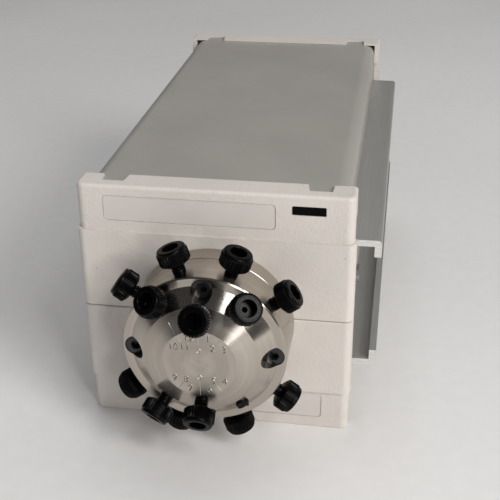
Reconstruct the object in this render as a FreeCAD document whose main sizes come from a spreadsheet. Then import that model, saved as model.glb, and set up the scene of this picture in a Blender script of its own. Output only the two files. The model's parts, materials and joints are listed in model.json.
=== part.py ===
import FreeCAD, Part
import math
import os
import re

import Sketcher
from FreeCAD import Placement, Rotation, Vector

# Driving sizes in millimetres and degrees, counts where the name says so
SIZES = {
    # Case
    "case_width": 100.0,
    "case_depth": 210.0,
    "case_height": 96.1,
    "top_band_inset": 0.65,
    "lower_band_inset": 0.4,
    "band_step": 1.0,
    "top_band_height": 17.3,
    "lower_step_height": 16.6,
    "seam_height": 47.7,
    "seam_gap": 0.3,
    "seam_bevel": 0.35,
    "front_wall": 2.6,
    "bezel_depth": 5.8,
    "tab_reach": 11.5,
    "corner_tab_drop": 10.0,
    "notch_inset": 8.4,
    "notch_width": 10.0,
    "notch_slope": 1.4,
    "edge_radius": 3.0,
    "rim_radius": 1.2,
    "panel_clearance": 2.0,
    # Plates on the front
    "plate_recess": 0.8,
    "plate_thickness": 0.55,
    "plate_fit": 0.15,
    "plate_radius": 1.5,
    "plate_left_inset": 10.3,
    "plate_right_inset": 10.6,
    "plate_spacing": 5.6,
    "name_plate_drop": 3.8,
    "name_plate_height": 9.6,
    "window_width": 11.9,
    "window_drop": 3.9,
    "window_height": 3.4,
    "window_radius": 0.5,
    "lower_plate_width": 47.4,
    "lower_plate_drop": 1.8,
    "lower_plate_height": 10.3,
    # Sheet cover and base tray
    "cover_side_inset": 3.1,
    "cover_top_inset": 1.0,
    "cover_radius": 5.0,
    "sheet": 1.2,
    "sheet_fit": 0.1,
    "tray_lip": 12.0,
    # Rear bezel and rear panel
    "rear_bezel_depth": 7.0,
    "rear_tab_reach": 12.7,
    "rear_wall": 5.5,
    "rear_opening_side": 8.0,
    "rear_opening_low": 8.0,
    "rear_opening_drop": 8.1,
    "rear_opening_radius": 3.0,
    "rear_panel_thickness": 1.5,
    "rear_screw_radius": 1.5,
    "rear_screw_head_radius": 2.8,
    "rear_screw_head_height": 1.8,
    # Clamp rail
    "rail_reach": 8.6,
    "rail_low": 26.8,
    "rail_height": 51.6,
    "rail_web": 1.6,
    "rail_flange": 2.4,
    "rail_lip": 6.5,
    "rail_lip_thickness": 2.5,
    "rail_front": 6.2,
    "rail_end_inset": 17.5,
    "rail_radius": 1.5,
    "rail_screw_radius": 2.0,
    "rail_screw_head_radius": 3.6,
    "rail_screw_head_height": 1.8,
    "rail_screw_pitch": 70.0,
    "rail_screw_count": 3,
    "backing_thickness": 2.0,
    "backing_width": 16.0,
    "screw_fit": 0.1,
    # Valve body
    "valve_height": 45.6,
    "valve_radius": 28.9,
    "base_ring_length": 7.5,
    "spigot_radius": 22.0,
    "locating_radius": 14.0,
    "head_rim": 21.4,
    "rim_chamfer": 0.45,
    "rim_width": 3.2,
    "lower_cone_width": 5.4,
    "lower_cone_rise": 5.1,
    "upper_cone_width": 7.2,
    "upper_cone_rise": 3.2,
    "chamber_radius": 13.0,
    "chamber_floor": 1.4,
    "stator_plane": 12.05,
    "rotor_gap": 0.05,
    "running_fit": 0.04,
    # Stator screws
    "screw_circle_inset": 4.5,
    "screw_clearance": 1.0,
    "screw_radius": 2.0,
    "screw_head_radius": 3.5,
    "screw_head_height": 4.0,
    "screw_socket": 3.0,
    "screw_socket_depth": 2.4,
    "counterbore_fit": 0.3,
    "counterbore_depth": 4.2,
    # Ports and fittings
    "port_fit": 0.04,
    "port_depth": 8.5,
    "port_mouth": 6.0,
    "port_tip": 2.2,
    "port_tip_radius": 1.25,
    "nose_clearance": 0.3,
    "outer_tier_drop": 6.2,
    "middle_tier_inset": 5.9,
    "middle_tier_tilt": 45.0,
    "inner_tier_inset": 12.5,
    "inner_tier_tilt": 60.0,
    "port_step_angle": 18.0,
    "thread_radius": 2.38,
    "thread_height": 0.35,
    "thread_seat": 0.2,
    "fitting_neck": 3.0,
    "fitting_shoulder": 0.8,
    "fitting_shoulder_radius": 3.5,
    "fitting_head_radius": 4.9,
    "fitting_head_length": 6.6,
    "fitting_recess_radius": 2.65,
    "fitting_recess_depth": 4.4,
    "fitting_bore_radius": 0.85,
    "fitting_bevel": 0.55,
    "knurl_count": 36,
    "knurl_depth": 0.34,
    "knurl_step": 0.08,
    "collar_length": 1.5,
    "stub_proud": 0.6,
    "stub_sunk": 0.9,
    # Drive
    "shaft_radius": 4.0,
    "shaft_end_radius": 2.5,
    "carrier_radius": 11.0,
    "carrier_thickness": 3.6,
    "seal_radius": 9.5,
    "seal_thickness": 3.4,
    "seal_groove_radius": 5.2,
    "seal_groove_width": 0.6,
    "spring_radius": 9.0,
    "spring_gap": 0.3,
    "bearing_radius": 8.0,
    "bearing_width": 5.0,
    "end_bearing_radius": 6.5,
    "shaft_clearance": 0.3,
    "bracket_gap": 0.3,
    "bracket_thickness": 3.0,
    "bracket_margin": 6.0,
    "bracket_drop": 3.0,
    "bracket_foot": 14.0,
    "post_flats": 7.0,
    "post_length": 26.0,
    "post_left": 26.0,
    "post_right": 34.0,
    "post_below": 20.0,
    "post_above": 33.0,
    "gear_plate_margin": 5.2,
    "gear_plate_thickness": 4.0,
    "gear_plate_corner": 4.0,
    "gear_module": 0.8,
    "gear_teeth": 46,
    "pinion_teeth": 14,
    "gear_backlash": 0.22,
    "gear_width": 6.0,
    "pinion_overhang": 0.5,
    "gear_start": 7.0,
    "gear_hub_radius": 8.0,
    "gear_hub_length": 4.0,
    "disc_radius": 14.5,
    "disc_thickness": 1.0,
    "disc_gap": 1.6,
    "disc_slots": 12,
    "disc_slot_width": 1.6,
    "disc_slot_depth": 2.5,
    "sensor_width": 12.0,
    "sensor_slot": 2.2,
    "sensor_wall": 2.0,
    "sensor_top": 9.6,
    "sensor_height": 11.0,
    "motor_angle": 45.0,
    "motor_side": 42.3,
    "motor_length": 38.0,
    "motor_corner": 5.0,
    "motor_boss_radius": 11.0,
    "motor_boss_height": 2.0,
    "motor_shaft_radius": 2.5,
    "motor_shaft_inside": 14.0,
    "motor_shaft_tip": 4.5,
    # Control board
    "board_width": 70.0,
    "board_length": 96.0,
    "board_thickness": 1.6,
    "board_lift": 8.0,
    "board_gap": 0.5,
    "board_post_inset": 5.0,
    "board_post_flats": 5.0,
    "board_margin": 4.0,
    "chip_side": 20.0,
    "chip_height": 2.2,
    "driver_side": 16.0,
    "heat_block_height": 12.0,
    "can_radius": 5.0,
    "can_height": 14.0,
    "can_pitch": 13.0,
    "can_count": 3,
    "header_depth": 6.0,
    "header_height": 8.0,
    "motor_header_width": 18.0,
    "sensor_header_width": 10.0,
    "port_header_width": 28.0,
    # Rear sockets
    "inlet_width": 27.6,
    "inlet_height": 20.0,
    "inlet_flange": 2.5,
    "inlet_depth": 22.0,
    "inlet_cavity": 16.0,
    "inlet_x": -20.0,
    "inlet_z": 24.0,
    "inlet_wall": 1.6,
    "blade_length": 11.0,
    "blade_width": 2.0,
    "blade_height": 4.0,
    "blade_pitch": 7.0,
    "blade_rise": 2.0,
    "switch_width": 12.8,
    "switch_height": 19.2,
    "switch_x": 22.0,
    "switch_z": 24.0,
    "switch_depth": 14.0,
    "switch_rim": 1.2,
    "rocker_gap": 0.3,
    "rocker_height": 3.6,
    "rocker_hollow": 1.6,
    "rocker_shoulder": 2.3,
    "rocker_bevel": 0.9,
    "rocker_belly": 2.2,
    "rocker_belly_length": 11.0,
    "rocker_pin_radius": 0.9,
    "switch_angle": 7.0,
    "socket_z": 54.0,
    "socket_x": 20.0,
    "socket_flange_margin": 3.0,
    "socket_flange_height": 12.6,
    "socket_flange": 1.0,
    "socket_body_width": 19.0,
    "socket_body_height": 10.4,
    "socket_body_depth": 8.0,
    "socket_shell_width": 16.9,
    "socket_shell_height": 8.3,
    "socket_taper": 0.8,
    "socket_jack_pitch": 25.0,
    "socket_jack_radius": 2.4,
    "socket_jack_height": 3.2,
    "socket_thread_radius": 1.2,
    "vent_drop": 26.1,
    "vent_width": 60.0,
    "vent_slot": 2.4,
    "vent_pitch": 5.0,
    "vent_count": 3,
}

# Lines that follow from the sizes: sums of products, each factor a size, another line or a number
LINES = {
    "top_step_height": "case_height - top_band_height",
    "notch_end": "0.5 * case_width - notch_inset",
    "notch_start": "notch_end - notch_width",
    "panel_hole_radius": "spigot_radius + panel_clearance",
    "name_plate_left": "plate_left_inset - 0.5 * case_width",
    "name_plate_width": "window_left - plate_spacing - name_plate_left",
    "name_plate_low": "case_height - name_plate_drop - name_plate_height",
    "window_left": "0.5 * case_width - plate_right_inset - window_width",
    "window_low": "case_height - window_drop - window_height",
    "lower_plate_left": "0.5 * case_width - plate_right_inset - lower_plate_width",
    "lower_plate_low": "lower_step_height - lower_plate_drop - lower_plate_height",
    "cover_width": "case_width - 2 * cover_side_inset",
    "cover_top": "case_height - cover_top_inset",
    "cover_length": "case_depth - front_wall - rear_wall - rear_panel_thickness - 2 * sheet_fit",
    "rear_opening_width": "case_width - 2 * rear_opening_side",
    "rear_opening_high": "case_height - rear_opening_drop",
    "rear_screw_inset": "0.5 * rear_opening_side",
    "rail_rear": "case_depth - rail_end_inset",
    "cone_outer_radius": "valve_radius - rim_width",
    "cone_knee_radius": "cone_outer_radius - lower_cone_width",
    "cone_knee": "head_rim + lower_cone_rise",
    "face_radius": "cone_knee_radius - upper_cone_width",
    "face_front": "cone_knee + upper_cone_rise",
    "screw_circle": "valve_radius - screw_circle_inset",
    "counterbore_radius": "screw_head_radius + counterbore_fit",
    "counterbore_floor": "head_rim - counterbore_depth",
    "port_radius": "thread_radius + port_fit",
    "outer_tier_height": "head_rim - outer_tier_drop",
    "middle_tier_radius": "valve_radius - middle_tier_inset",
    "inner_tier_radius": "valve_radius - inner_tier_inset",
    "carrier_front": "stator_plane - rotor_gap - seal_thickness",
    "spring_thickness": "carrier_front - carrier_thickness - spring_gap - chamber_floor",
    "bracket_width": "2 * post_right + 2 * bracket_margin",
    "bracket_high": "case_height - bracket_drop",
    "drive_plane": "front_wall + bracket_gap + bracket_thickness",
    "motor_plane": "drive_plane + post_length + gear_plate_thickness",
    "disc_start": "gear_start + gear_width + gear_hub_length + disc_gap",
    "board_start": "case_depth - rear_wall - inlet_depth - board_gap - board_length",
    "socket_flange_width": "socket_jack_pitch + 2 * socket_flange_margin",
    "vent_low": "case_height - vent_drop",
}

doc = FreeCAD.newDocument("selector_valve")
sheet = doc.addObject("Spreadsheet::Sheet", "Sizes")
for row, (alias, value) in enumerate(SIZES.items(), start=1):
    sheet.set("A%d" % row, alias)
    sheet.set("B%d" % row, str(value))
    sheet.setAlias("B%d" % row, alias)
doc.recompute()

WORD = re.compile(r"[a-z][a-z_]*[a-z]")
PARTS = []


def formula(text):
    """A formula with each line written out and the sheet's name before each size."""
    def named(found):
        word = found.group()
        if word in LINES:
            return "(%s)" % formula(LINES[word])
        return "Sizes." + word if word in SIZES else word
    return WORD.sub(named, str(text))


def size(name):
    """The number that a size, a line or a plain factor stands for."""
    if name in SIZES:
        return SIZES[name]
    if name in LINES:
        terms = LINES[name].replace("- ", "+ -1 * ").split(" + ")
        return sum(math.prod(size(factor) for factor in term.split(" * ")) for term in terms)
    return float(name)


def bind(obj, prop, text):
    obj.setExpression(prop, formula(text))


def place(obj, x="0", y="0", z="0", rotation=None):
    """Put a sub-part in the frame: y runs from the case's front face towards the rear."""
    if rotation is not None:
        obj.Placement = Placement(Vector(), rotation)
    bind(obj, "Placement.Base.x", x)
    bind(obj, "Placement.Base.y", "%s - case_depth / 2" % y)
    bind(obj, "Placement.Base.z", z)
    PARTS.append(obj)
    return obj


def new_body(label):
    body = doc.addObject("PartDesign::Body", label)
    body.Label = label
    return body


def sketch_on(body, role, offset="0"):
    plane = next(item for item in body.Origin.OriginFeatures if item.Role == role)
    sketch = body.newObject("Sketcher::SketchObject", body.Label + "_sketch")
    sketch.AttachmentSupport = (plane, [""])
    sketch.MapMode = "FlatFace"
    bind(sketch, "AttachmentOffset.Base.z", offset)
    return sketch


def pin_point(sketch, item, vertex, across, up):
    """Hold one vertex of a sketch at two formulas measured from the origin."""
    for kind, text in (("DistanceX", across), ("DistanceY", up)):
        index = sketch.addConstraint(Sketcher.Constraint(kind, -1, 1, item, vertex, 1.0))
        bind(sketch, "Constraints[%d]" % index, text)


def draw_polygon(sketch, corners):
    """Close a loop of straight edges through corners given as pairs of formulas."""
    count = len(corners)
    start = [Vector(9 * math.cos(2 * math.pi * k / count), 9 * math.sin(2 * math.pi * k / count), 0)
             for k in range(count)]
    first = sketch.GeometryCount
    for k in range(count):
        sketch.addGeometry(Part.LineSegment(start[k], start[(k + 1) % count]), False)
    for k in range(count):
        following = first + (k + 1) % count
        sketch.addConstraint(Sketcher.Constraint("Coincident", first + k, 2, following, 1))
    for k, (across, up) in enumerate(corners):
        pin_point(sketch, first + k, 1, across, up)


def draw_rectangle(sketch, left, low, right, high):
    draw_polygon(sketch, [(left, low), (right, low), (right, high), (left, high)])


def draw_hexagon(sketch, flats):
    """A hexagon about the origin, sized across its flats."""
    draw_polygon(sketch, [("%s / sqrt(3) * cos(%d)" % (flats, turn), "%s / sqrt(3) * sin(%d)" % (flats, turn))
                          for turn in range(0, 360, 60)])


def draw_circle(sketch, across, up, radius):
    item = sketch.addGeometry(Part.Circle(Vector(1, 1, 0), Vector(0, 0, 1), 5.0), False)
    index = sketch.addConstraint(Sketcher.Constraint("Radius", item, 5.0))
    bind(sketch, "Constraints[%d]" % index, radius)
    pin_point(sketch, item, 3, across, up)


def feature(body, kind, sketch, **settings):
    made = body.newObject("PartDesign::" + kind, body.Label + "_" + kind.lower())
    made.Profile = sketch
    for name, value in settings.items():
        if isinstance(value, str) and name in ("Length", "Length2"):
            bind(made, name, value)
        else:
            setattr(made, name, value)
    sketch.Visibility = False
    return made


def pad(body, sketch, length, reverse=False):
    return feature(body, "Pad", sketch, Length=length, Reversed=reverse)


def pocket(body, sketch, length, reverse=False):
    """Cut a sketch into the body, and check that it took something away."""
    doc.recompute()
    before = body.Shape.Volume
    made = feature(body, "Pocket", sketch, Length=length, Reversed=reverse)
    doc.recompute()
    if body.Shape.Volume > before - 1e-6:
        raise RuntimeError("%s cut nothing" % made.Name)
    return made


def revolve(body, sketch):
    """Turn a half profile drawn in the XZ plane about the body's Z axis."""
    return feature(body, "Revolution", sketch, ReferenceAxis=(sketch, ["V_Axis"]), Angle=360.0)


def matching_edges(shape, test):
    return ["Edge%d" % k for k, edge in enumerate(shape.Edges, start=1) if test(edge)]


def dress(body, kind, prop, size, test):
    """Round or bevel every edge of the body that passes the test."""
    doc.recompute()
    names = matching_edges(body.Shape, test)
    if not names:
        raise RuntimeError("%s has no edge to dress" % body.Label)
    base = body.Tip
    made = body.newObject("PartDesign::" + kind, body.Label + "_" + kind.lower())
    made.Base = (base, names)
    bind(made, prop, size)
    doc.recompute()
    if "Invalid" in made.State:
        raise RuntimeError("%s failed" % made.Name)
    return made


def fillet(body, radius, test):
    return dress(body, "Fillet", "Radius", radius, test)


def chamfer(body, size, test):
    return dress(body, "Chamfer", "Size", size, test)


def hollow(body, wall, test):
    """Turn the body into a skin, open at every face that passes the test."""
    doc.recompute()
    names = ["Face%d" % k for k, face in enumerate(body.Shape.Faces, start=1) if test(face)]
    base = body.Tip
    made = body.newObject("PartDesign::Thickness", body.Label + "_thickness")
    made.Base = (base, names)
    made.Reversed = True
    bind(made, "Value", wall)
    return made


def polar(body, original, count):
    """Repeat one feature round the body's Z axis."""
    made = body.newObject("PartDesign::PolarPattern", body.Label + "_polar")
    made.Originals = [original]
    axis = next(item for item in body.Origin.OriginFeatures if item.Role == "Z_Axis")
    made.Axis = (axis, [""])
    made.Angle = 360.0
    bind(made, "Occurrences", count)
    body.Tip = made
    return made


def near(value, target, reach=0.01):
    return abs(value - target) < reach


def runs_along(edge, axis):
    """True for a straight edge parallel to the axis, 0 for X, 1 for Y, 2 for Z."""
    if not isinstance(edge.Curve, (Part.Line, Part.LineSegment)):
        return False
    way = edge.tangentAt(edge.FirstParameter)
    return near(abs(way[axis]), 1.0, 1e-6)


# Every valve piece stands on its own Z axis, which points out of the front of the case
OUT_OF_FRONT = Rotation(Vector(1, 0, 0), 90)


def on_valve_axis(obj):
    return place(obj, "0", "0", "valve_height", OUT_OF_FRONT)


def round_upright_edges(body, radius):
    """Round the upright outer corners of a case moulding, band by band."""
    half = size("case_width") / 2 - size("top_band_inset")
    fillet(body, radius, lambda edge: runs_along(edge, 2) and abs(edge.BoundBox.XMin) > half - 0.01
           and abs(edge.BoundBox.YMin) < size("band_step") + 0.01)


def cut_cover_space(body, wall, reverse):
    """Hollow a moulding out to the outline of the sheet cover, open below."""
    sketch = sketch_on(body, "XZ_Plane", ("-%s" if reverse else "%s") % wall)
    draw_rectangle(sketch, "-cover_width / 2 - sheet_fit", "-seam_height", "cover_width / 2 + sheet_fit",
                   "cover_top + sheet_fit")
    return pocket(body, sketch, "case_width", reverse=not reverse)


def cut_tabs(body, sign, depth, reach):
    """Leave three tabs over the cover, with two notches between them, and short side flanges."""
    sketch = sketch_on(body, "XZ_Plane", "-%d * %s" % (sign, depth))
    draw_rectangle(sketch, "-case_width", "-case_width", "case_width", "case_height - corner_tab_drop")
    pocket(body, sketch, reach, reverse=sign < 0)
    sketch = sketch_on(body, "XY_Plane", "case_height + edge_radius")
    far = "%d * (%s + edge_radius)" % (sign, reach)
    near_side = "%d * %s" % (sign, depth)
    for side in (-1, 1):
        draw_polygon(sketch, [
            ("%d * notch_start" % side, far),
            ("%d * notch_end" % side, far),
            ("%d * (notch_end - notch_slope / 2)" % side, near_side),
            ("%d * (notch_start + notch_slope)" % side, near_side),
        ])
    pocket(body, sketch, "3 * edge_radius")


def cut_plate_recess(body, left, low, width, height, radius, face, depth):
    """Sink a rounded rectangle into the front face, with corners of its own radius."""
    sketch = sketch_on(body, "XZ_Plane", "-(%s)" % face)
    draw_rectangle(sketch, left, low, "%s + %s" % (left, width), "%s + %s" % (low, height))
    pocket(body, sketch, depth)
    sink = size(depth)
    fillet(body, radius, lambda edge: runs_along(edge, 1) and near(edge.Length, sink)
           and size(low) - 0.01 < edge.BoundBox.ZMin < size(low) + size(height) + 0.01)


def cut_valve_hole(body):
    sketch = sketch_on(body, "XZ_Plane", "edge_radius")
    draw_circle(sketch, "0", "valve_height", "panel_hole_radius")
    pocket(body, sketch, "edge_radius + 2 * front_wall")


def bevel_seam(body, height):
    """Break the long front edge beside the parting line."""
    chamfer(body, "seam_bevel", lambda edge: runs_along(edge, 0) and near(edge.BoundBox.ZMin, height)
            and near(edge.BoundBox.YMin, 0.0))


def make_front_bezel():
    """Upper moulding: a raised middle band, a stepped back top band and tabs over the cover."""
    body = new_body("front_bezel")
    sketch = sketch_on(body, "XZ_Plane")
    draw_rectangle(sketch, "-case_width / 2", "seam_height + seam_gap / 2",
                   "case_width / 2", "top_step_height")
    pad(body, sketch, "bezel_depth", reverse=True)
    sketch = sketch_on(body, "XZ_Plane", "-band_step")
    draw_rectangle(sketch, "top_band_inset - case_width / 2", "top_step_height - edge_radius",
                   "case_width / 2 - top_band_inset", "case_height")
    pad(body, sketch, "tab_reach - band_step", reverse=True)
    round_upright_edges(body, "edge_radius")
    fillet(body, "rim_radius", lambda edge: edge.BoundBox.ZLength < 0.01
           and near(edge.BoundBox.ZMin, size("case_height")) and edge.BoundBox.YMax < size("bezel_depth"))
    cut_cover_space(body, "front_wall", True)
    cut_tabs(body, 1, "bezel_depth", "tab_reach")
    cut_valve_hole(body)
    cut_plate_recess(body, "name_plate_left", "name_plate_low", "name_plate_width", "name_plate_height",
                     "plate_radius", "band_step", "plate_recess")
    cut_plate_recess(body, "window_left", "window_low", "window_width", "window_height",
                     "window_radius", "band_step", "plate_recess")
    bevel_seam(body, size("seam_height") + size("seam_gap") / 2)
    return place(body)


def make_lower_cover():
    """Lower moulding: the raised band and a stepped back foot, meeting the upper one at the seam."""
    body = new_body("front_lower_cover")
    sketch = sketch_on(body, "XZ_Plane")
    draw_rectangle(sketch, "-case_width / 2", "lower_step_height",
                   "case_width / 2", "seam_height - seam_gap / 2")
    pad(body, sketch, "bezel_depth", reverse=True)
    sketch = sketch_on(body, "XZ_Plane", "-band_step")
    draw_rectangle(sketch, "lower_band_inset - case_width / 2", "0",
                   "case_width / 2 - lower_band_inset", "lower_step_height + edge_radius")
    pad(body, sketch, "bezel_depth - band_step", reverse=True)
    round_upright_edges(body, "edge_radius")
    fillet(body, "rim_radius / 2", lambda edge: edge.BoundBox.ZLength < 0.01
           and near(edge.BoundBox.ZMin, 0) and edge.BoundBox.YMax < size("bezel_depth"))
    cut_cover_space(body, "front_wall", True)
    cut_valve_hole(body)
    cut_plate_recess(body, "lower_plate_left", "lower_plate_low", "lower_plate_width", "lower_plate_height",
                     "plate_radius", "band_step", "plate_recess")
    bevel_seam(body, size("seam_height") - size("seam_gap") / 2)
    return place(body)


def make_front_plate(label, left, low, width, height, radius, thickness):
    """A thin insert that lies at the bottom of its recess, with a small gap all round."""
    body = new_body(label)
    sketch = sketch_on(body, "XZ_Plane")
    draw_rectangle(sketch, "%s + plate_fit" % left, "%s + plate_fit" % low,
                   "%s + %s - plate_fit" % (left, width), "%s + %s - plate_fit" % (low, height))
    pad(body, sketch, thickness)
    fillet(body, "%s - plate_fit" % radius, lambda edge: runs_along(edge, 1))
    return place(body, y="band_step + plate_recess")


def make_cover():
    """Folded sheet over the top and both sides, with wide bends."""
    body = new_body("cover")
    sketch = sketch_on(body, "XZ_Plane")
    draw_rectangle(sketch, "-cover_width / 2", "sheet_fit", "cover_width / 2", "cover_top")
    pad(body, sketch, "cover_length", reverse=True)
    fillet(body, "cover_radius", lambda edge: runs_along(edge, 1)
           and near(edge.BoundBox.ZMin, size("cover_top")))
    hollow(body, "sheet", lambda face: abs(face.normalAt(0, 0).y) > 0.9 or face.normalAt(0, 0).z < -0.9)
    sketch = sketch_on(body, "YZ_Plane", "cover_width / 2 + sheet")
    for k in range(int(size("rail_screw_count"))):
        draw_circle(sketch, "%s - front_wall - sheet_fit" % rail_screw_place(k),
                    "rail_low + rail_height / 2", "rail_screw_radius + screw_fit")
    pocket(body, sketch, "3 * sheet")
    return place(body, y="front_wall + sheet_fit")


def rail_screw_place(k):
    """Distance of one rail screw behind the front face, as a formula."""
    return "((rail_front + rail_rear) / 2 + rail_screw_pitch * (%d - (rail_screw_count - 1) / 2))" % k


def make_base_tray():
    """Flat sheet under the case with two upturned lips inside the cover."""
    body = new_body("base_tray")
    sketch = sketch_on(body, "XZ_Plane")
    outer = "(cover_width / 2 - sheet - sheet_fit)"
    inner = "(cover_width / 2 - 2 * sheet - sheet_fit)"
    draw_polygon(sketch, [
        ("-" + outer, "0"), (outer, "0"), (outer, "tray_lip"), (inner, "tray_lip"),
        (inner, "sheet"), ("-" + inner, "sheet"), ("-" + inner, "tray_lip"), ("-" + outer, "tray_lip"),
    ])
    pad(body, sketch, "cover_length", reverse=True)
    return place(body, y="front_wall + sheet_fit")


def make_rear_bezel():
    """Rear moulding: the front's outline again, with a deep frame round the socket panel."""
    body = new_body("rear_bezel")
    sketch = sketch_on(body, "XZ_Plane")
    draw_rectangle(sketch, "-case_width / 2", "lower_step_height", "case_width / 2", "top_step_height")
    pad(body, sketch, "rear_bezel_depth")
    sketch = sketch_on(body, "XZ_Plane", "band_step")
    draw_rectangle(sketch, "top_band_inset - case_width / 2", "0",
                   "case_width / 2 - top_band_inset", "case_height")
    pad(body, sketch, "rear_tab_reach - band_step")
    round_upright_edges(body, "edge_radius")
    fillet(body, "rim_radius", lambda edge: edge.BoundBox.ZLength < 0.01
           and near(edge.BoundBox.ZMin, size("case_height"))
           and edge.BoundBox.YMin > -size("edge_radius") - 0.01)
    cut_cover_space(body, "rear_wall", False)
    cut_tabs(body, -1, "rear_bezel_depth", "rear_tab_reach")
    sketch = sketch_on(body, "XZ_Plane", "-edge_radius")
    draw_rectangle(sketch, "-rear_opening_width / 2", "rear_opening_low", "rear_opening_width / 2",
                   "rear_opening_high")
    pocket(body, sketch, "rear_wall + 2 * edge_radius", reverse=True)
    fillet(body, "rear_opening_radius", lambda edge: runs_along(edge, 1)
           and near(abs(edge.BoundBox.XMin), size("rear_opening_width") / 2)
           and (near(edge.BoundBox.ZMin, size("rear_opening_low"))
                or near(edge.BoundBox.ZMin, size("rear_opening_high"))))
    for radius, depth in (("rear_screw_radius + screw_fit", "2 * rear_wall"),
                          ("rear_screw_head_radius + screw_fit", "rear_screw_head_height + screw_fit")):
        sketch = sketch_on(body, "XZ_Plane")
        for across, up in rear_screw_places():
            draw_circle(sketch, across, up, radius)
        pocket(body, sketch, depth, reverse=True)
    return place(body, y="case_depth")


def rear_screw_places():
    """Four screws in the rear frame, beside the opening, as formulas."""
    across = "(rear_opening_width / 2 + rear_screw_inset)"
    return [(side + across, up) for side in ("-", "")
            for up in ("(lower_step_height + rear_screw_inset)", "(top_step_height - rear_screw_inset)")]


SOCKET_SIDES = (("serial_socket", "-"), ("remote_socket", ""))


def make_rear_panel():
    """Plate behind the rear frame, cut out for the inlet, the switch, two sockets and the vents."""
    body = new_body("rear_panel")
    sketch = sketch_on(body, "XZ_Plane")
    draw_rectangle(sketch, "-cover_width / 2", "0", "cover_width / 2", "cover_top")
    pad(body, sketch, "rear_panel_thickness")
    fillet(body, "cover_radius", lambda edge: runs_along(edge, 1)
           and near(edge.BoundBox.ZMin, size("cover_top")))
    sketch = sketch_on(body, "XZ_Plane")
    openings = [("inlet_x", "inlet_z", "inlet_width / 2", "inlet_height / 2"),
                ("switch_x", "switch_z", "switch_width / 2", "switch_height / 2")]
    for label, side in SOCKET_SIDES:
        openings.append((side + "socket_x", "socket_z", "socket_body_width / 2", "socket_body_height / 2"))
    for across, up, half_width, half_height in openings:
        corners = ["%s %s %s %s screw_fit" % (middle, sign, half, sign) for sign in "-+"
                   for middle, half in ((across, half_width), (up, half_height))]
        draw_rectangle(sketch, *corners)
    for k in range(int(size("vent_count"))):
        low = "vent_low + %d * vent_pitch" % k
        draw_rectangle(sketch, "-vent_width / 2", low, "vent_width / 2", low + " + vent_slot")
    for across, up in rear_screw_places():
        draw_circle(sketch, across, up, "rear_screw_radius + screw_fit")
    pocket(body, sketch, "2 * rear_panel_thickness", reverse=True)
    return place(body, y="case_depth - rear_wall")


def screw_profile(sketch, radius, length, head_radius, head_height):
    """Half profile of a plain headed screw whose head stands on the XY plane."""
    draw_polygon(sketch, [("0", "-" + length), (radius, "-" + length), (radius, "0"), (head_radius, "0"),
                          (head_radius, head_height), ("0", head_height)])


def cut_cross_slot(body, radius, height):
    """Cut a crossed driver slot into a screw head."""
    sketch = sketch_on(body, "XY_Plane", height)
    arm = "(%s * 0.6)" % radius
    half = "(%s * 0.12)" % radius
    draw_polygon(sketch, [
        (arm, "-" + half), (arm, half), (half, half), (half, arm), ("-" + half, arm), ("-" + half, half),
        ("-" + arm, half), ("-" + arm, "-" + half), ("-" + half, "-" + half), ("-" + half, "-" + arm),
        (half, "-" + arm), (half, "-" + half),
    ])
    pocket(body, sketch, "%s / 2" % height)


def copies_of(master, label, placements):
    """One sub-part made of several equal solids at the given placements."""
    group = doc.addObject("Part::Compound", label)
    group.Label = label
    links = []
    for k, placement in enumerate(placements):
        copy = clone_of(master, "%s_%d" % (label, k + 1))
        copy.Placement = placement
        links.append(copy)
    group.Links = links
    return group


def clone_of(master, label):
    """A body that repeats the master body's shape."""
    copy = doc.addObject("PartDesign::Body", label)
    copy.Label = label
    base = doc.addObject("PartDesign::FeatureBase", label + "_base")
    base.BaseFeature = master
    copy.Group = [base]
    copy.Tip = base
    return copy


def make_rail():
    """Lipped channel on the right side of the case, open outwards."""
    body = new_body("clamp_rail")
    sketch = sketch_on(body, "XZ_Plane")
    outer = "(case_width / 2 + rail_reach - cover_width / 2)"
    lip = "(%s - rail_lip_thickness)" % outer
    draw_polygon(sketch, [
        ("0", "0"), (outer, "0"), (outer, "rail_lip"), (lip, "rail_lip"), (lip, "rail_flange"),
        ("rail_web", "rail_flange"), ("rail_web", "rail_height - rail_flange"),
        (lip, "rail_height - rail_flange"), (lip, "rail_height - rail_lip"),
        (outer, "rail_height - rail_lip"), (outer, "rail_height"), ("0", "rail_height"),
    ])
    pad(body, sketch, "rail_rear - rail_front", reverse=True)
    reach = size("case_width") / 2 + size("rail_reach") - size("cover_width") / 2
    fillet(body, "rail_radius", lambda edge: runs_along(edge, 1) and near(edge.BoundBox.XMin, reach)
           and (near(edge.BoundBox.ZMin, 0) or near(edge.BoundBox.ZMin, size("rail_height"))))
    sketch = sketch_on(body, "YZ_Plane", "2 * rail_web")
    for k in range(int(size("rail_screw_count"))):
        draw_circle(sketch, "%s - rail_front" % rail_screw_place(k), "rail_height / 2",
                    "rail_screw_radius + screw_fit")
    pocket(body, sketch, "3 * rail_web")
    return place(body, "cover_width / 2", "rail_front", "rail_low")


def make_backing():
    """Tapped strip inside the cover that the rail's screws hold."""
    body = new_body("rail_backing")
    sketch = sketch_on(body, "YZ_Plane")
    draw_rectangle(sketch, "0", "-backing_width / 2", "rail_rear - rail_front", "backing_width / 2")
    for k in range(int(size("rail_screw_count"))):
        draw_circle(sketch, "%s - rail_front" % rail_screw_place(k), "0",
                    "rail_screw_radius + screw_fit / 5")
    pad(body, sketch, "backing_thickness")
    return place(body, "cover_width / 2 - sheet - backing_thickness", "rail_front",
                 "rail_low + rail_height / 2")


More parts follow.
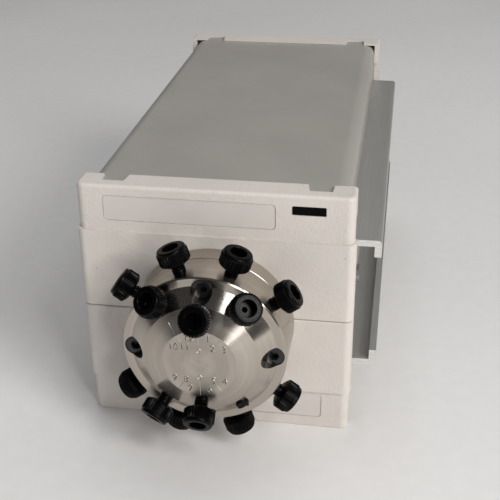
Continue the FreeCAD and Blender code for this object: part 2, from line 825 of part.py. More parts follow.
def make_rail_screws():
    """Pan head screws through the rail's web and the cover into the strip."""
    master = new_body("rail_screw")
    sketch = sketch_on(master, "XZ_Plane")
    screw_profile(sketch, "rail_screw_radius", "(rail_web + sheet + backing_thickness)",
                  "rail_screw_head_radius", "rail_screw_head_height")
    revolve(master, sketch)
    cut_cross_slot(master, "rail_screw_head_radius", "rail_screw_head_height")
    middle = (size("rail_front") + size("rail_rear")) / 2 - size("rail_front")
    count = int(size("rail_screw_count"))
    group = copies_of(master, "rail_screws", [
        Placement(Vector(0, middle + size("rail_screw_pitch") * (k - (count - 1) / 2), 0),
                  Rotation(Vector(0, 1, 0), 90)) for k in range(count)])
    return place(group, "cover_width / 2 + rail_web", "rail_front", "rail_low + rail_height / 2")


def make_rear_screws():
    """Pan head screws sunk in the rear frame, holding the panel."""
    master = new_body("rear_screw")
    sketch = sketch_on(master, "XZ_Plane")
    screw_profile(sketch, "rear_screw_radius", "(rear_wall + rear_panel_thickness - rear_screw_head_height)",
                  "rear_screw_head_radius", "(rear_screw_head_height - screw_fit)")
    revolve(master, sketch)
    cut_cross_slot(master, "rear_screw_head_radius", "(rear_screw_head_height - screw_fit)")
    across = size("rear_opening_width") / 2 + size("rear_screw_inset")
    low = size("lower_step_height") + size("rear_screw_inset")
    high = size("top_step_height") - size("rear_screw_inset")
    group = copies_of(master, "rear_screws", [
        Placement(Vector(x, 0, z), Rotation(Vector(1, 0, 0), -90))
        for x in (-across, across) for z in (low, high)])
    return place(group, "0", "case_depth - rear_screw_head_height - screw_fit", "0")


def make_valve_base():
    """Base ring on the front panel, with a spigot through the panel and a boss in the bracket."""
    body = new_body("valve_base")
    sketch = sketch_on(body, "XZ_Plane")
    seat = "(-front_wall - bracket_gap)"
    back = "(-drive_plane)"
    hole = "(shaft_radius + shaft_clearance)"
    draw_polygon(sketch, [
        (hole, "%s + bearing_width" % back), ("bearing_radius", "%s + bearing_width" % back),
        ("bearing_radius", back), ("locating_radius", back), ("locating_radius", seat),
        ("spigot_radius", seat), ("spigot_radius", "0"), ("valve_radius", "0"),
        ("valve_radius", "base_ring_length - rim_chamfer / 2"),
        ("valve_radius - rim_chamfer / 2", "base_ring_length"),
        ("chamber_radius", "base_ring_length"), ("chamber_radius", "chamber_floor"), (hole, "chamber_floor"),
    ])
    revolve(body, sketch)
    sketch = sketch_on(body, "XY_Plane", "base_ring_length")
    for across, up in screw_places():
        draw_circle(sketch, across, up, "screw_radius + screw_fit / 5")
    pocket(body, sketch, "base_ring_length - screw_clearance")
    return on_valve_axis(body)


def screw_places():
    """The four stator screws, right, top, left and bottom, as formulas."""
    return [("screw_circle", "0"), ("0", "screw_circle"), ("-screw_circle", "0"), ("0", "-screw_circle")]


def make_head_blank():
    """Stator head before its ports: a cylinder, a narrow rim, two cones and a flat face."""
    body = new_body("head_blank")
    sketch = sketch_on(body, "XZ_Plane")
    draw_polygon(sketch, [
        ("0", "stator_plane"), ("chamber_radius", "stator_plane"), ("chamber_radius", "base_ring_length"),
        ("valve_radius - rim_chamfer / 2", "base_ring_length"),
        ("valve_radius", "base_ring_length + rim_chamfer / 2"),
        ("valve_radius", "head_rim - rim_chamfer"), ("valve_radius - rim_chamfer", "head_rim"),
        ("cone_outer_radius", "head_rim"), ("cone_knee_radius", "cone_knee"),
        ("face_radius", "face_front"), ("0", "face_front"),
    ])
    revolve(body, sketch)
    for radius, low in (("screw_radius + screw_fit", "base_ring_length"),
                        ("counterbore_radius", "counterbore_floor")):
        sketch = sketch_on(body, "XY_Plane", "face_front")
        for across, up in screw_places():
            draw_circle(sketch, across, up, radius)
        pocket(body, sketch, "face_front - " + low)
    return body


STUB_PORT = "05"


def port_frames():
    """Name and placement of every port: origin at its mouth, Z pointing out along its axis."""
    step = size("port_step_angle")
    outer = [90 - step, 90 - 3 * step, 3 * step - 90, step - 90]
    outer += [180 - azimuth for azimuth in reversed(outer)]
    middle = [90 - 2 * step, 2 * step - 90, 270 - 2 * step, 90 + 2 * step]
    around = sorted([(a % 360, "outer") for a in outer] + [(a % 360, "middle") for a in middle],
                    key=lambda item: (90 - item[0]) % 360)
    frames = [("%02d" % k, azimuth, tier) for k, (azimuth, tier) in enumerate(around, start=1)]
    frames += [("upper", 90, "inner"), ("lower", 270, "inner")]
    return [(name, port_placement(azimuth, tier)) for name, azimuth, tier in frames]


def port_placement(azimuth, tier):
    slope = (size("cone_knee") - size("head_rim")) / (size("cone_outer_radius") - size("cone_knee_radius"))
    inner_slope = (size("face_front") - size("cone_knee")) / (size("cone_knee_radius") - size("face_radius"))
    if tier == "outer":
        radius, height, tilt = size("valve_radius"), size("outer_tier_height"), 0.0
    elif tier == "middle":
        radius, tilt = size("middle_tier_radius"), size("middle_tier_tilt")
        height = size("head_rim") + slope * (size("cone_outer_radius") - radius)
    else:
        radius, tilt = size("inner_tier_radius"), size("inner_tier_tilt")
        height = size("cone_knee") + inner_slope * (size("cone_knee_radius") - radius)
    turn, lean = math.radians(azimuth), math.radians(tilt)
    way = Vector(math.cos(lean) * math.cos(turn), math.cos(lean) * math.sin(turn), math.sin(lean))
    return Placement(Vector(radius * math.cos(turn), radius * math.sin(turn), height),
                     Rotation(Vector(0, 0, 1), way))


def down_by(depth):
    return Placement(Vector(0, 0, -depth), Rotation())


def make_stator_head():
    """The head blank less a drilled port with a conical bottom in each place."""
    blank = make_head_blank()
    cutters = []
    for name, frame in port_frames():
        drill = doc.addObject("Part::Cylinder", "port_drill_" + name)
        bind(drill, "Radius", "port_radius")
        bind(drill, "Height", "port_depth + port_mouth")
        drill.Placement = frame.multiply(down_by(size("port_depth")))
        tip = doc.addObject("Part::Cone", "port_tip_" + name)
        bind(tip, "Radius1", "port_tip_radius")
        bind(tip, "Radius2", "port_radius")
        bind(tip, "Height", "port_tip")
        tip.Placement = frame.multiply(down_by(size("port_depth") + size("port_tip")))
        cutters += [drill, tip]
    ports = doc.addObject("Part::MultiFuse", "ports")
    ports.Shapes = cutters
    head = doc.addObject("Part::Cut", "stator_head")
    head.Label = "stator_head"
    head.Base = blank
    head.Tool = ports
    return on_valve_axis(head)


def make_fitting():
    """Finger-tight fitting: ribbed head with a smooth collar and a deep recess, thread and conical nose."""
    body = new_body("fitting")
    ribs_start = "(fitting_neck + fitting_shoulder)"
    top = "(fitting_neck + fitting_head_length)"
    sketch = sketch_on(body, "XY_Plane", ribs_start)
    count = 2 * int(size("knurl_count"))
    radii = ("fitting_head_radius", "(fitting_head_radius - knurl_depth)")
    draw_polygon(sketch, [("%s * cos(%d * 180 / knurl_count)" % (radii[k % 2], k),
                           "%s * sin(%d * 180 / knurl_count)" % (radii[k % 2], k)) for k in range(count)])
    pad(body, sketch, "fitting_head_length - fitting_shoulder - collar_length")
    sketch = sketch_on(body, "XZ_Plane")
    nose = "(-port_depth - port_tip + nose_clearance)"
    shoulder = "(-port_depth + nose_clearance)"
    collar = "(fitting_head_radius - knurl_depth - knurl_step)"
    draw_polygon(sketch, [
        ("0", nose), ("port_tip_radius - nose_clearance / 2", nose), ("thread_radius", shoulder),
        ("thread_radius", "thread_seat"), ("thread_radius - thread_height", "thread_seat"),
        ("thread_radius - thread_height", "fitting_neck"), ("fitting_shoulder_radius", "fitting_neck"),
        (collar, ribs_start), (collar, top + " - fitting_bevel"),
        (collar + " - fitting_bevel", top), ("0", top),
    ])
    revolve(body, sketch)
    for radius, depth in (("fitting_recess_radius", "fitting_recess_depth"),
                          ("fitting_bore_radius", top + " + port_depth + port_tip")):
        sketch = sketch_on(body, "XY_Plane", top)
        draw_circle(sketch, "0", "0", radius)
        pocket(body, sketch, depth)
    return body


def make_fittings():
    """A ribbed fitting in every port but one, which keeps a headless stub."""
    master = make_fitting()
    stub = new_body("stub")
    sketch = sketch_on(stub, "XZ_Plane")
    shoulder = "(-port_depth + nose_clearance)"
    draw_polygon(sketch, [
        ("0", shoulder), ("thread_radius", shoulder), ("thread_radius", "stub_proud"),
        ("(thread_radius + fitting_bore_radius) / 2", "stub_proud / 3"),
        ("fitting_bore_radius", "-stub_sunk"), ("0", "-stub_sunk"),
    ])
    revolve(stub, sketch)
    axis = Placement(Vector(0, -size("case_depth") / 2, size("valve_height")), OUT_OF_FRONT)
    for name, frame in port_frames():
        plain = name == STUB_PORT
        copy = clone_of(stub if plain else master, "port_stub" if plain else "fitting_" + name)
        copy.Placement = axis.multiply(frame)
        PARTS.append(copy)


def make_stator_screws():
    """Four socket head screws in the counterbores, each a sub-part."""
    master = new_body("stator_screw")
    sketch = sketch_on(master, "XZ_Plane")
    tip = "screw_clearance * 2 - counterbore_floor"
    draw_polygon(sketch, [
        ("0", tip), ("screw_radius", tip), ("screw_radius", "0"), ("screw_head_radius", "0"),
        ("screw_head_radius", "screw_head_height - rim_chamfer"),
        ("screw_head_radius - rim_chamfer", "screw_head_height"), ("0", "screw_head_height"),
    ])
    revolve(master, sketch)
    sketch = sketch_on(master, "XY_Plane", "screw_head_height")
    draw_hexagon(sketch, "screw_socket")
    pocket(master, sketch, "screw_socket_depth")
    sides = (("right", "screw_circle", "0"), ("top", "0", "screw_circle"),
             ("left", "-screw_circle", "0"), ("bottom", "0", "-screw_circle"))
    for side, across, up in sides:
        copy = clone_of(master, "stator_screw_" + side)
        place(copy, across, "-counterbore_floor", "valve_height + " + up, OUT_OF_FRONT)


def bracket_back(extra="0"):
    """A height on the valve axis behind the bracket, as a formula."""
    return "(-drive_plane - %s)" % extra


def make_bracket():
    """Upright plate behind the front panel, bent to a foot on the tray."""
    body = new_body("valve_bracket")
    sketch = sketch_on(body, "XZ_Plane")
    draw_rectangle(sketch, "-bracket_width / 2", "sheet", "bracket_width / 2", "bracket_high")
    draw_circle(sketch, "0", "valve_height", "locating_radius + running_fit")
    pad(body, sketch, "bracket_thickness", reverse=True)
    sketch = sketch_on(body, "XZ_Plane")
    draw_rectangle(sketch, "-bracket_width / 2", "sheet", "bracket_width / 2", "sheet + bracket_thickness")
    pad(body, sketch, "bracket_foot", reverse=True)
    fillet(body, "bracket_thickness", lambda edge: runs_along(edge, 1)
           and near(edge.BoundBox.ZMin, size("bracket_high")))
    return place(body, y="front_wall + bracket_gap")


def make_posts():
    """Four hexagonal posts that carry the gear plate."""
    master = new_body("post")
    sketch = sketch_on(master, "XY_Plane")
    draw_hexagon(sketch, "post_flats")
    pad(master, sketch, "post_length")
    group = copies_of(master, "gear_plate_posts", [
        Placement(Vector(across, 0, up), Rotation(Vector(1, 0, 0), -90))
        for across in (-size("post_left"), size("post_right"))
        for up in (-size("post_below"), size("post_above"))])
    return place(group, "0", "drive_plane", "valve_height")


# The motor stands up and to the right of the valve's axis, so that it fits a low or narrow case
GEAR_DISTANCE = "gear_module * (gear_teeth + pinion_teeth) / 2"
MOTOR_ACROSS = "(%s * cos(motor_angle))" % GEAR_DISTANCE
MOTOR_UP = "(%s * sin(motor_angle))" % GEAR_DISTANCE


def make_gear_plate():
    """Rear plate of the gear space, bored for the end bearing and the motor's boss."""
    body = new_body("gear_plate")
    sketch = sketch_on(body, "XZ_Plane")
    draw_rectangle(sketch, "-post_left - gear_plate_margin", "-post_below - gear_plate_margin",
                   "post_right + gear_plate_margin", "post_above + gear_plate_margin")
    draw_circle(sketch, "0", "0", "end_bearing_radius + running_fit")
    draw_circle(sketch, MOTOR_ACROSS, MOTOR_UP, "motor_boss_radius + running_fit")
    pad(body, sketch, "gear_plate_thickness", reverse=True)
    fillet(body, "gear_plate_corner", lambda edge: runs_along(edge, 1) and isinstance(edge.Curve, Part.Line)
           and (near(edge.BoundBox.XMin, -size("post_left") - size("gear_plate_margin"))
                or near(edge.BoundBox.XMin, size("post_right") + size("gear_plate_margin"))))
    return place(body, y="drive_plane + post_length", z="valve_height")


def make_bearing(label, radius, bore, width, height):
    body = new_body(label)
    sketch = sketch_on(body, "XZ_Plane")
    race = "((%s - (%s)) / 4)" % (radius, bore)
    draw_polygon(sketch, [
        (bore, "0"), ("%s + %s" % (bore, race), "0"), ("%s + %s" % (bore, race), "running_fit * 5"),
        ("%s - %s" % (radius, race), "running_fit * 5"), ("%s - %s" % (radius, race), "0"), (radius, "0"),
        (radius, width), (bore, width),
    ])
    revolve(body, sketch)
    return place(body, "0", "-(%s)" % height, "valve_height", OUT_OF_FRONT)


def make_bearings():
    make_bearing("front_bearing", "bearing_radius - running_fit", "shaft_radius + running_fit",
                 "bearing_width - running_fit", bracket_back())
    make_bearing("end_bearing", "end_bearing_radius", "shaft_end_radius + running_fit",
                 "gear_plate_thickness", bracket_back("post_length - gear_plate_thickness"))


def make_valve_shaft():
    """Stepped shaft with the carrier that turns the rotor seal."""
    body = new_body("valve_shaft")
    sketch = sketch_on(body, "XZ_Plane")
    shoulder = bracket_back("post_length + shaft_clearance * 2")
    end = bracket_back("post_length - gear_plate_thickness + shaft_clearance")
    draw_polygon(sketch, [
        ("0", end), ("shaft_end_radius", end), ("shaft_end_radius", shoulder), ("shaft_radius", shoulder),
        ("shaft_radius", "carrier_front - carrier_thickness"),
        ("carrier_radius", "carrier_front - carrier_thickness"), ("carrier_radius", "carrier_front"),
        ("0", "carrier_front"),
    ])
    revolve(body, sketch)
    return on_valve_axis(body)


def make_rotor_seal():
    """Rotor seal: a thin disc with a ring groove and one radial groove in its face."""
    body = new_body("rotor_seal")
    sketch = sketch_on(body, "XY_Plane")
    draw_circle(sketch, "0", "0", "seal_radius")
    pad(body, sketch, "seal_thickness")
    sketch = sketch_on(body, "XY_Plane", "seal_thickness")
    draw_circle(sketch, "0", "0", "seal_groove_radius + seal_groove_width / 2")
    draw_circle(sketch, "0", "0", "seal_groove_radius - seal_groove_width / 2")
    pocket(body, sketch, "seal_groove_width / 2")
    sketch = sketch_on(body, "XY_Plane", "seal_thickness")
    draw_rectangle(sketch, "0", "-seal_groove_width / 2", "seal_groove_radius", "seal_groove_width / 2")
    pocket(body, sketch, "seal_groove_width / 2")
    return place(body, "0", "-carrier_front", "valve_height", OUT_OF_FRONT)


def make_spring_stack():
    """Pair of conical spring washers under the carrier."""
    body = new_body("spring_stack")
    sketch = sketch_on(body, "XZ_Plane")
    bore = "(shaft_radius + shaft_clearance)"
    rise = "(spring_thickness / 3)"
    draw_polygon(sketch, [
        (bore, rise), ("spring_radius", "0"), ("spring_radius", rise),
        ("%s + shaft_clearance * 2" % bore, "1.5 * %s" % rise), ("spring_radius", "2 * %s" % rise),
        ("spring_radius", "3 * %s" % rise), (bore, "2 * %s" % rise),
    ])
    revolve(body, sketch)
    return place(body, "0", "-chamber_floor", "valve_height", OUT_OF_FRONT)


def involute(angle):
    return math.tan(angle) - angle


def gear_outline(teeth, backlash, turn):
    """Closed wire of a spur gear: flanks are arcs through three involute points, the rest is flat."""
    module = size("gear_module")
    pressure = math.radians(20)
    pitch = module * teeth / 2
    base = pitch * math.cos(pressure)
    root, tip = pitch - 1.25 * module, pitch + module
    half = (math.pi * module / 2 - backlash) / (2 * pitch)

    def flank_point(radius, centre, side):
        lean = math.acos(min(1.0, base / radius))
        angle = centre + side * (half + involute(pressure) - involute(lean))
        return Vector(radius * math.cos(angle), radius * math.sin(angle), 0)

    start = max(base, root)
    radii = [start, (start + tip) / 2, tip]
    edges = []
    for k in range(teeth):
        centre = turn + 2 * math.pi * k / teeth
        rising = [flank_point(radius, centre, -1) for radius in radii]
        falling = [flank_point(radius, centre, 1) for radius in reversed(radii)]
        next_foot = flank_point(start, centre + 2 * math.pi / teeth, -1)
        edges.append(Part.Arc(*rising).toShape())
        edges.append(Part.LineSegment(rising[-1], falling[0]).toShape())
        edges.append(Part.Arc(*falling).toShape())
        low_left = falling[-1] * (root / start)
        low_right = next_foot * (root / start)
        if start > root:
            edges.append(Part.LineSegment(falling[-1], low_left).toShape())
        edges.append(Part.LineSegment(low_left, low_right).toShape())
        if start > root:
            edges.append(Part.LineSegment(low_right, next_foot).toShape())
    return Part.Wire(edges)


def make_gear(label, teeth, turn, width, bore, hub_radius, hub_length):
    """Spur gear with a hub behind it and a bore for its shaft."""
    blank = Part.Face(gear_outline(teeth, size("gear_backlash"), turn)).extrude(Vector(0, 0, width))
    if hub_length:
        blank = blank.fuse(Part.makeCylinder(hub_radius, hub_length, Vector(0, 0, -hub_length)))
    blank = blank.cut(Part.makeCylinder(bore, width + hub_length, Vector(0, 0, -hub_length)))
    gear = doc.addObject("Part::Feature", label)
    gear.Label = label
    gear.Shape = blank.removeSplitter()
    return gear


def make_gear_pair():
    """The large gear has a tooth towards the motor, and the pinion a gap that takes it."""
    fit = size("running_fit")
    lean = math.radians(size("motor_angle"))
    gear = make_gear("drive_gear", size("gear_teeth"), lean, size("gear_width"),
                     size("shaft_radius") + fit / 4, size("gear_hub_radius"), size("gear_hub_length"))
    place(gear, "0", "drive_plane + gear_start + gear_width",
          "valve_height", OUT_OF_FRONT)
    pinion = make_gear("pinion", size("pinion_teeth"), lean + math.pi + math.pi / size("pinion_teeth"),
                       size("gear_width") + 2 * size("pinion_overhang"),
                       size("motor_shaft_radius") + fit / 4, 0, 0)
    place(pinion, MOTOR_ACROSS, "drive_plane + gear_start + gear_width + pinion_overhang",
          "valve_height + " + MOTOR_UP, OUT_OF_FRONT)


def make_encoder_disc():
    """Slotted disc that tells the valve's position."""
    body = new_body("encoder_disc")
    sketch = sketch_on(body, "XY_Plane")
    draw_circle(sketch, "0", "0", "disc_radius")
    draw_circle(sketch, "0", "0", "shaft_radius + running_fit / 4")
    pad(body, sketch, "disc_thickness")
    sketch = sketch_on(body, "XY_Plane")
    draw_rectangle(sketch, "disc_radius - disc_slot_depth", "-disc_slot_width / 2",
                   "disc_radius + disc_slot_depth", "disc_slot_width / 2")
    slot = pocket(body, sketch, "2 * disc_thickness", reverse=True)
    polar(body, slot, "disc_slots")
    return place(body, "0", "drive_plane + disc_start + disc_thickness",
                 "valve_height", OUT_OF_FRONT)


def make_position_sensor():
    """Forked light barrier on the gear plate, astride the disc's rim."""
    body = new_body("position_sensor")
    sketch = sketch_on(body, "YZ_Plane", "-sensor_width / 2")
    low = "(-sensor_top - sensor_height)"
    middle = "(disc_start + disc_thickness / 2)"
    draw_polygon(sketch, [
        ("%s - sensor_slot / 2 - sensor_wall" % middle, low),
        ("post_length", low), ("post_length", "-sensor_top"),
        ("%s + sensor_slot / 2" % middle, "-sensor_top"),
        ("%s + sensor_slot / 2" % middle, "%s + 2 * sensor_wall" % low),
        ("%s - sensor_slot / 2" % middle, "%s + 2 * sensor_wall" % low),
        ("%s - sensor_slot / 2" % middle, "-sensor_top"),
        ("%s - sensor_slot / 2 - sensor_wall" % middle, "-sensor_top"),
    ])
    pad(body, sketch, "sensor_width")
    return place(body, y="drive_plane", z="valve_height")


def make_motor():
    """Square stepper motor with clipped corners, a locating boss and a bore for its shaft."""
    body = new_body("motor")
    sketch = sketch_on(body, "XY_Plane")
    draw_rectangle(sketch, "-motor_side / 2", "-motor_side / 2", "motor_side / 2", "motor_side / 2")
    pad(body, sketch, "motor_length", reverse=True)
    chamfer(body, "motor_corner", lambda edge: runs_along(edge, 2))
    sketch = sketch_on(body, "XY_Plane")
    draw_circle(sketch, "0", "0", "motor_boss_radius")
    pad(body, sketch, "motor_boss_height")
    sketch = sketch_on(body, "XY_Plane", "motor_boss_height")
    draw_circle(sketch, "0", "0", "motor_shaft_radius + running_fit")
    pocket(body, sketch, "motor_boss_height + motor_shaft_inside + shaft_clearance")
    return place(body, MOTOR_ACROSS, "motor_plane",
                 "valve_height + " + MOTOR_UP, OUT_OF_FRONT)


def make_motor_shaft():
    body = new_body("motor_shaft")
    sketch = sketch_on(body, "XY_Plane", "-motor_shaft_inside")
    draw_circle(sketch, "0", "0", "motor_shaft_radius")
    pad(body, sketch, "motor_shaft_inside + gear_plate_thickness + post_length - motor_shaft_tip")
    return place(body, MOTOR_ACROSS, "motor_plane",
                 "valve_height + " + MOTOR_UP, OUT_OF_FRONT)


def make_board():
    """Control board on four posts, with its parts as one group of solids."""
    body = new_body("control_board")
    sketch = sketch_on(body, "XY_Plane")
    draw_rectangle(sketch, "-board_width / 2", "0", "board_width / 2", "board_length")
    pad(body, sketch, "board_thickness")
    place(body, y="board_start", z="sheet + board_lift")
    master = new_body("board_post")
    sketch = sketch_on(master, "XY_Plane")
    draw_hexagon(sketch, "board_post_flats")
    pad(master, sketch, "board_lift")
    across = size("board_width") / 2 - size("board_post_inset")
    along = (size("board_post_inset"), size("board_length") - size("board_post_inset"))
    posts = copies_of(master, "board_posts", [Placement(Vector(side * across, y, 0), Rotation())
                                              for side in (-1, 1) for y in along])
    place(posts, y="board_start", z="sheet")


def make_board_parts():
    """Chips, a cooling block, a row of capacitors and plug headers, as one group on the board."""
    left = "(board_margin - board_width / 2)"
    right = "(board_width / 2 - board_margin)"
    front = "(2 * board_margin + board_post_inset + header_depth)"
    boxes = (
        ("driver", left, front, "driver_side", "driver_side", "chip_height"),
        ("processor", left, "board_length / 2", "chip_side", "chip_side", "chip_height"),
        ("heat_block", "0", front, "driver_side", "driver_side", "heat_block_height"),
        ("motor_header", "-motor_header_width - board_margin / 2", "board_margin / 2", "motor_header_width",
         "header_depth", "header_height"),
        ("sensor_header", "board_margin / 2", "board_margin / 2", "sensor_header_width", "header_depth",
         "header_height"),
        ("port_header", "-port_header_width / 2", "board_length - board_margin / 2 - header_depth",
         "port_header_width", "header_depth", "header_height"),
    )
    made = []
    for name, x, y, width, length, height in boxes:
        box = doc.addObject("Part::Box", name)
        for prop, text in (("Length", width), ("Width", length), ("Height", height),
                           ("Placement.Base.x", x), ("Placement.Base.y", y)):
            bind(box, prop, text)
        made.append(box)
    for k in range(int(size("can_count"))):
        can = doc.addObject("Part::Cylinder", "can_%d" % k)
        along = "board_length / 2 + can_pitch * (%d - (can_count - 1) / 2)" % k
        for prop, text in (("Radius", "can_radius"), ("Height", "can_height"),
                           ("Placement.Base.x", right + " - can_radius"), ("Placement.Base.y", along)):
            bind(can, prop, text)
        made.append(can)
    group = doc.addObject("Part::Compound", "board_parts")
    group.Label = "board_parts"
    group.Links = made
    return place(group, y="board_start", z="sheet + board_lift + board_thickness")


def make_inlet():
    """Power inlet: a flanged body with a deep socket and three blades standing in it."""
    body = new_body("power_inlet")
    sketch = sketch_on(body, "XZ_Plane")
    draw_rectangle(sketch, "-inlet_width / 2 - inlet_flange", "-inlet_height / 2 - inlet_flange",
                   "inlet_width / 2 + inlet_flange", "inlet_height / 2 + inlet_flange")
    pad(body, sketch, "inlet_flange", reverse=True)
    sketch = sketch_on(body, "XZ_Plane")
    draw_rectangle(sketch, "-inlet_width / 2", "-inlet_height / 2", "inlet_width / 2", "inlet_height / 2")
    pad(body, sketch, "inlet_depth")
    fillet(body, "inlet_flange / 2", lambda edge: runs_along(edge, 1))
    sketch = sketch_on(body, "XZ_Plane", "-inlet_flange")
    clip = "(inlet_height / 4)"
    half_width = "(inlet_width / 2 - inlet_wall)"
    half_height = "(inlet_height / 2 - inlet_wall)"
    draw_polygon(sketch, [
        ("-" + half_width, "-" + half_height), (half_width, "-" + half_height),
        (half_width, "%s - %s" % (half_height, clip)), ("%s - %s" % (half_width, clip), half_height),
        ("-(%s - %s)" % (half_width, clip), half_height), ("-" + half_width, "%s - %s" % (half_height, clip)),
    ])
    pocket(body, sketch, "inlet_cavity", reverse=True)
    place(body, "inlet_x", "case_depth - rear_wall", "inlet_z")
    master = new_body("blade")
    sketch = sketch_on(master, "XZ_Plane")
    draw_rectangle(sketch, "-blade_width / 2", "-blade_height / 2", "blade_width / 2", "blade_height / 2")
    pad(master, sketch, "blade_length", reverse=True)
    pitch, rise = size("blade_pitch"), size("blade_rise")
    blades = copies_of(master, "inlet_blades", [Placement(Vector(x, 0, z), Rotation())
                                                for x, z in ((-pitch, -rise), (0, rise), (pitch, -rise))])
    return place(blades, "inlet_x", "case_depth - rear_wall + inlet_flange - inlet_cavity", "inlet_z")


def make_switch():
    """Rocker switch: a flanged frame and a bent rocker on a cross axle."""
    body = new_body("switch_frame")
    sketch = sketch_on(body, "XZ_Plane")
    draw_rectangle(sketch, "-switch_width / 2 - switch_rim", "-switch_height / 2 - switch_rim",
                   "switch_width / 2 + switch_rim", "switch_height / 2 + switch_rim")
    pad(body, sketch, "switch_rim", reverse=True)
    sketch = sketch_on(body, "XZ_Plane")
    draw_rectangle(sketch, "-switch_width / 2", "-switch_height / 2", "switch_width / 2", "switch_height / 2")
    pad(body, sketch, "switch_depth")
    sketch = sketch_on(body, "XZ_Plane", "-switch_rim")
    draw_rectangle(sketch, "switch_rim - switch_width / 2", "switch_rim - switch_height / 2",
                   "switch_width / 2 - switch_rim", "switch_height / 2 - switch_rim")
    pocket(body, sketch, "switch_depth", reverse=True)
    sketch = sketch_on(body, "YZ_Plane", "switch_width / 2 - switch_rim / 3")
    draw_circle(sketch, "0", "0", "rocker_pin_radius + running_fit")
    pocket(body, sketch, "switch_width - 2 * switch_rim / 3")
    place(body, "switch_x", "case_depth - rear_wall", "switch_z")
    rocker = new_body("switch_rocker")
    sketch = sketch_on(rocker, "YZ_Plane", "rocker_gap + switch_rim - switch_width / 2")
    half = "(switch_height / 2 - switch_rim - 2 * rocker_gap)"
    shoulder = "(rocker_height - rocker_shoulder)"
    draw_polygon(sketch, [
        (shoulder, "-" + half), ("rocker_height", "-(%s - rocker_bevel)" % half),
        ("rocker_height - rocker_hollow", "0"), ("rocker_height", "%s - rocker_bevel" % half),
        (shoulder, half),
        ("-rocker_belly", "rocker_belly_length / 2"), ("-rocker_belly", "-rocker_belly_length / 2"),
    ])
    pad(rocker, sketch, "switch_width - 2 * switch_rim - 2 * rocker_gap")
    sketch = sketch_on(rocker, "YZ_Plane", "switch_rim / 2 - switch_width / 2")
    draw_circle(sketch, "0", "0", "rocker_pin_radius")
    pad(rocker, sketch, "switch_width - switch_rim")
    return place(rocker, "switch_x", "case_depth - rear_wall", "switch_z",
                 Rotation(Vector(1, 0, 0), size("switch_angle")))


def make_socket(label, side):
    """Nine way data socket: flange, body through the panel, tapered shell and two jack posts."""
    body = new_body(label)
    sketch = sketch_on(body, "XZ_Plane")
    draw_rectangle(sketch, "-socket_flange_width / 2", "-socket_flange_height / 2",
                   "socket_flange_width / 2", "socket_flange_height / 2")
    pad(body, sketch, "socket_flange", reverse=True)
    fillet(body, "socket_flange", lambda edge: runs_along(edge, 1))
    sketch = sketch_on(body, "XZ_Plane")
    draw_rectangle(sketch, "-socket_body_width / 2", "-socket_body_height / 2",
                   "socket_body_width / 2", "socket_body_height / 2")
    pad(body, sketch, "socket_body_depth")
    sketch = sketch_on(body, "XZ_Plane", "-socket_flange")
    draw_polygon(sketch, [
        ("-socket_shell_width / 2 + socket_taper", "-socket_shell_height / 2"),
        ("socket_shell_width / 2 - socket_taper", "-socket_shell_height / 2"),
        ("socket_shell_width / 2", "socket_shell_height / 2"),
        ("-socket_shell_width / 2", "socket_shell_height / 2"),
    ])
    shell = "(rear_wall - 2 * socket_flange)"
    pad(body, sketch, shell, reverse=True)
    fillet(body, "2 * socket_taper", lambda edge: edge.BoundBox.YMin > size("socket_flange") - 0.01
           and edge.BoundBox.YLength > 1)
    sketch = sketch_on(body, "XZ_Plane", "-socket_flange")
    for side_sign in ("-", ""):
        draw_circle(sketch, side_sign + "socket_jack_pitch / 2", "0", "socket_jack_radius")
    pad(body, sketch, "socket_jack_height", reverse=True)
    sketch = sketch_on(body, "XZ_Plane", "-socket_flange - socket_jack_height")
    for side_sign in ("-", ""):
        draw_circle(sketch, side_sign + "socket_jack_pitch / 2", "0", "socket_thread_radius")
    pocket(body, sketch, "socket_jack_height", reverse=True)
    return place(body, side + "socket_x", "case_depth - rear_wall", "socket_z")


def make_all():
    make_front_bezel()
    make_lower_cover()
    make_front_plate("name_plate", "name_plate_left", "name_plate_low", "name_plate_width",
                     "name_plate_height", "plate_radius", "plate_thickness")
    make_front_plate("status_window", "window_left", "window_low", "window_width",
                     "window_height", "window_radius", "plate_recess - plate_fit")
    make_front_plate("lower_plate", "lower_plate_left", "lower_plate_low", "lower_plate_width",
                     "lower_plate_height", "plate_radius", "plate_thickness")
    make_cover()
    make_base_tray()
    make_rear_bezel()
    make_rear_panel()
    make_rear_screws()
    make_rail()
    make_backing()
    make_rail_screws()
    make_valve_base()
    make_stator_head()
    make_stator_screws()
    make_fittings()
    make_valve_shaft()
    make_rotor_seal()
    make_spring_stack()
    make_bearings()
    make_bracket()
    make_posts()
    make_gear_plate()
    make_gear_pair()
    make_encoder_disc()
    make_position_sensor()
    make_motor()
    make_motor_shaft()
    make_board()
    make_board_parts()
    make_inlet()
    make_switch()
    for label, side in SOCKET_SIDES:
        make_socket(label, side)


def check_document():
    """Stop before writing if any object of the document failed."""
    for obj in doc.Objects:
        if "Invalid" in obj.State or "Error" in obj.State:
            raise RuntimeError("%s failed to build" % obj.Label)
    for part in PARTS:
        if part.Shape.isNull() or not part.Shape.isValid() or not part.Shape.Solids:
            raise RuntimeError("%s has no valid solid" % part.Label)


def write_parts():
    os.makedirs("parts", exist_ok=True)
    for part in PARTS:
        part.Shape.exportStep(os.path.join("parts", part.Label + ".step"))


make_all()
doc.recompute()
check_document()
write_parts()
print("%d sub-parts written" % len(PARTS))
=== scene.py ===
import json
import math
import random

import bpy
from bpy.props import FloatProperty, FloatVectorProperty, IntProperty, PointerProperty
from mathutils import Euler, Matrix, Vector

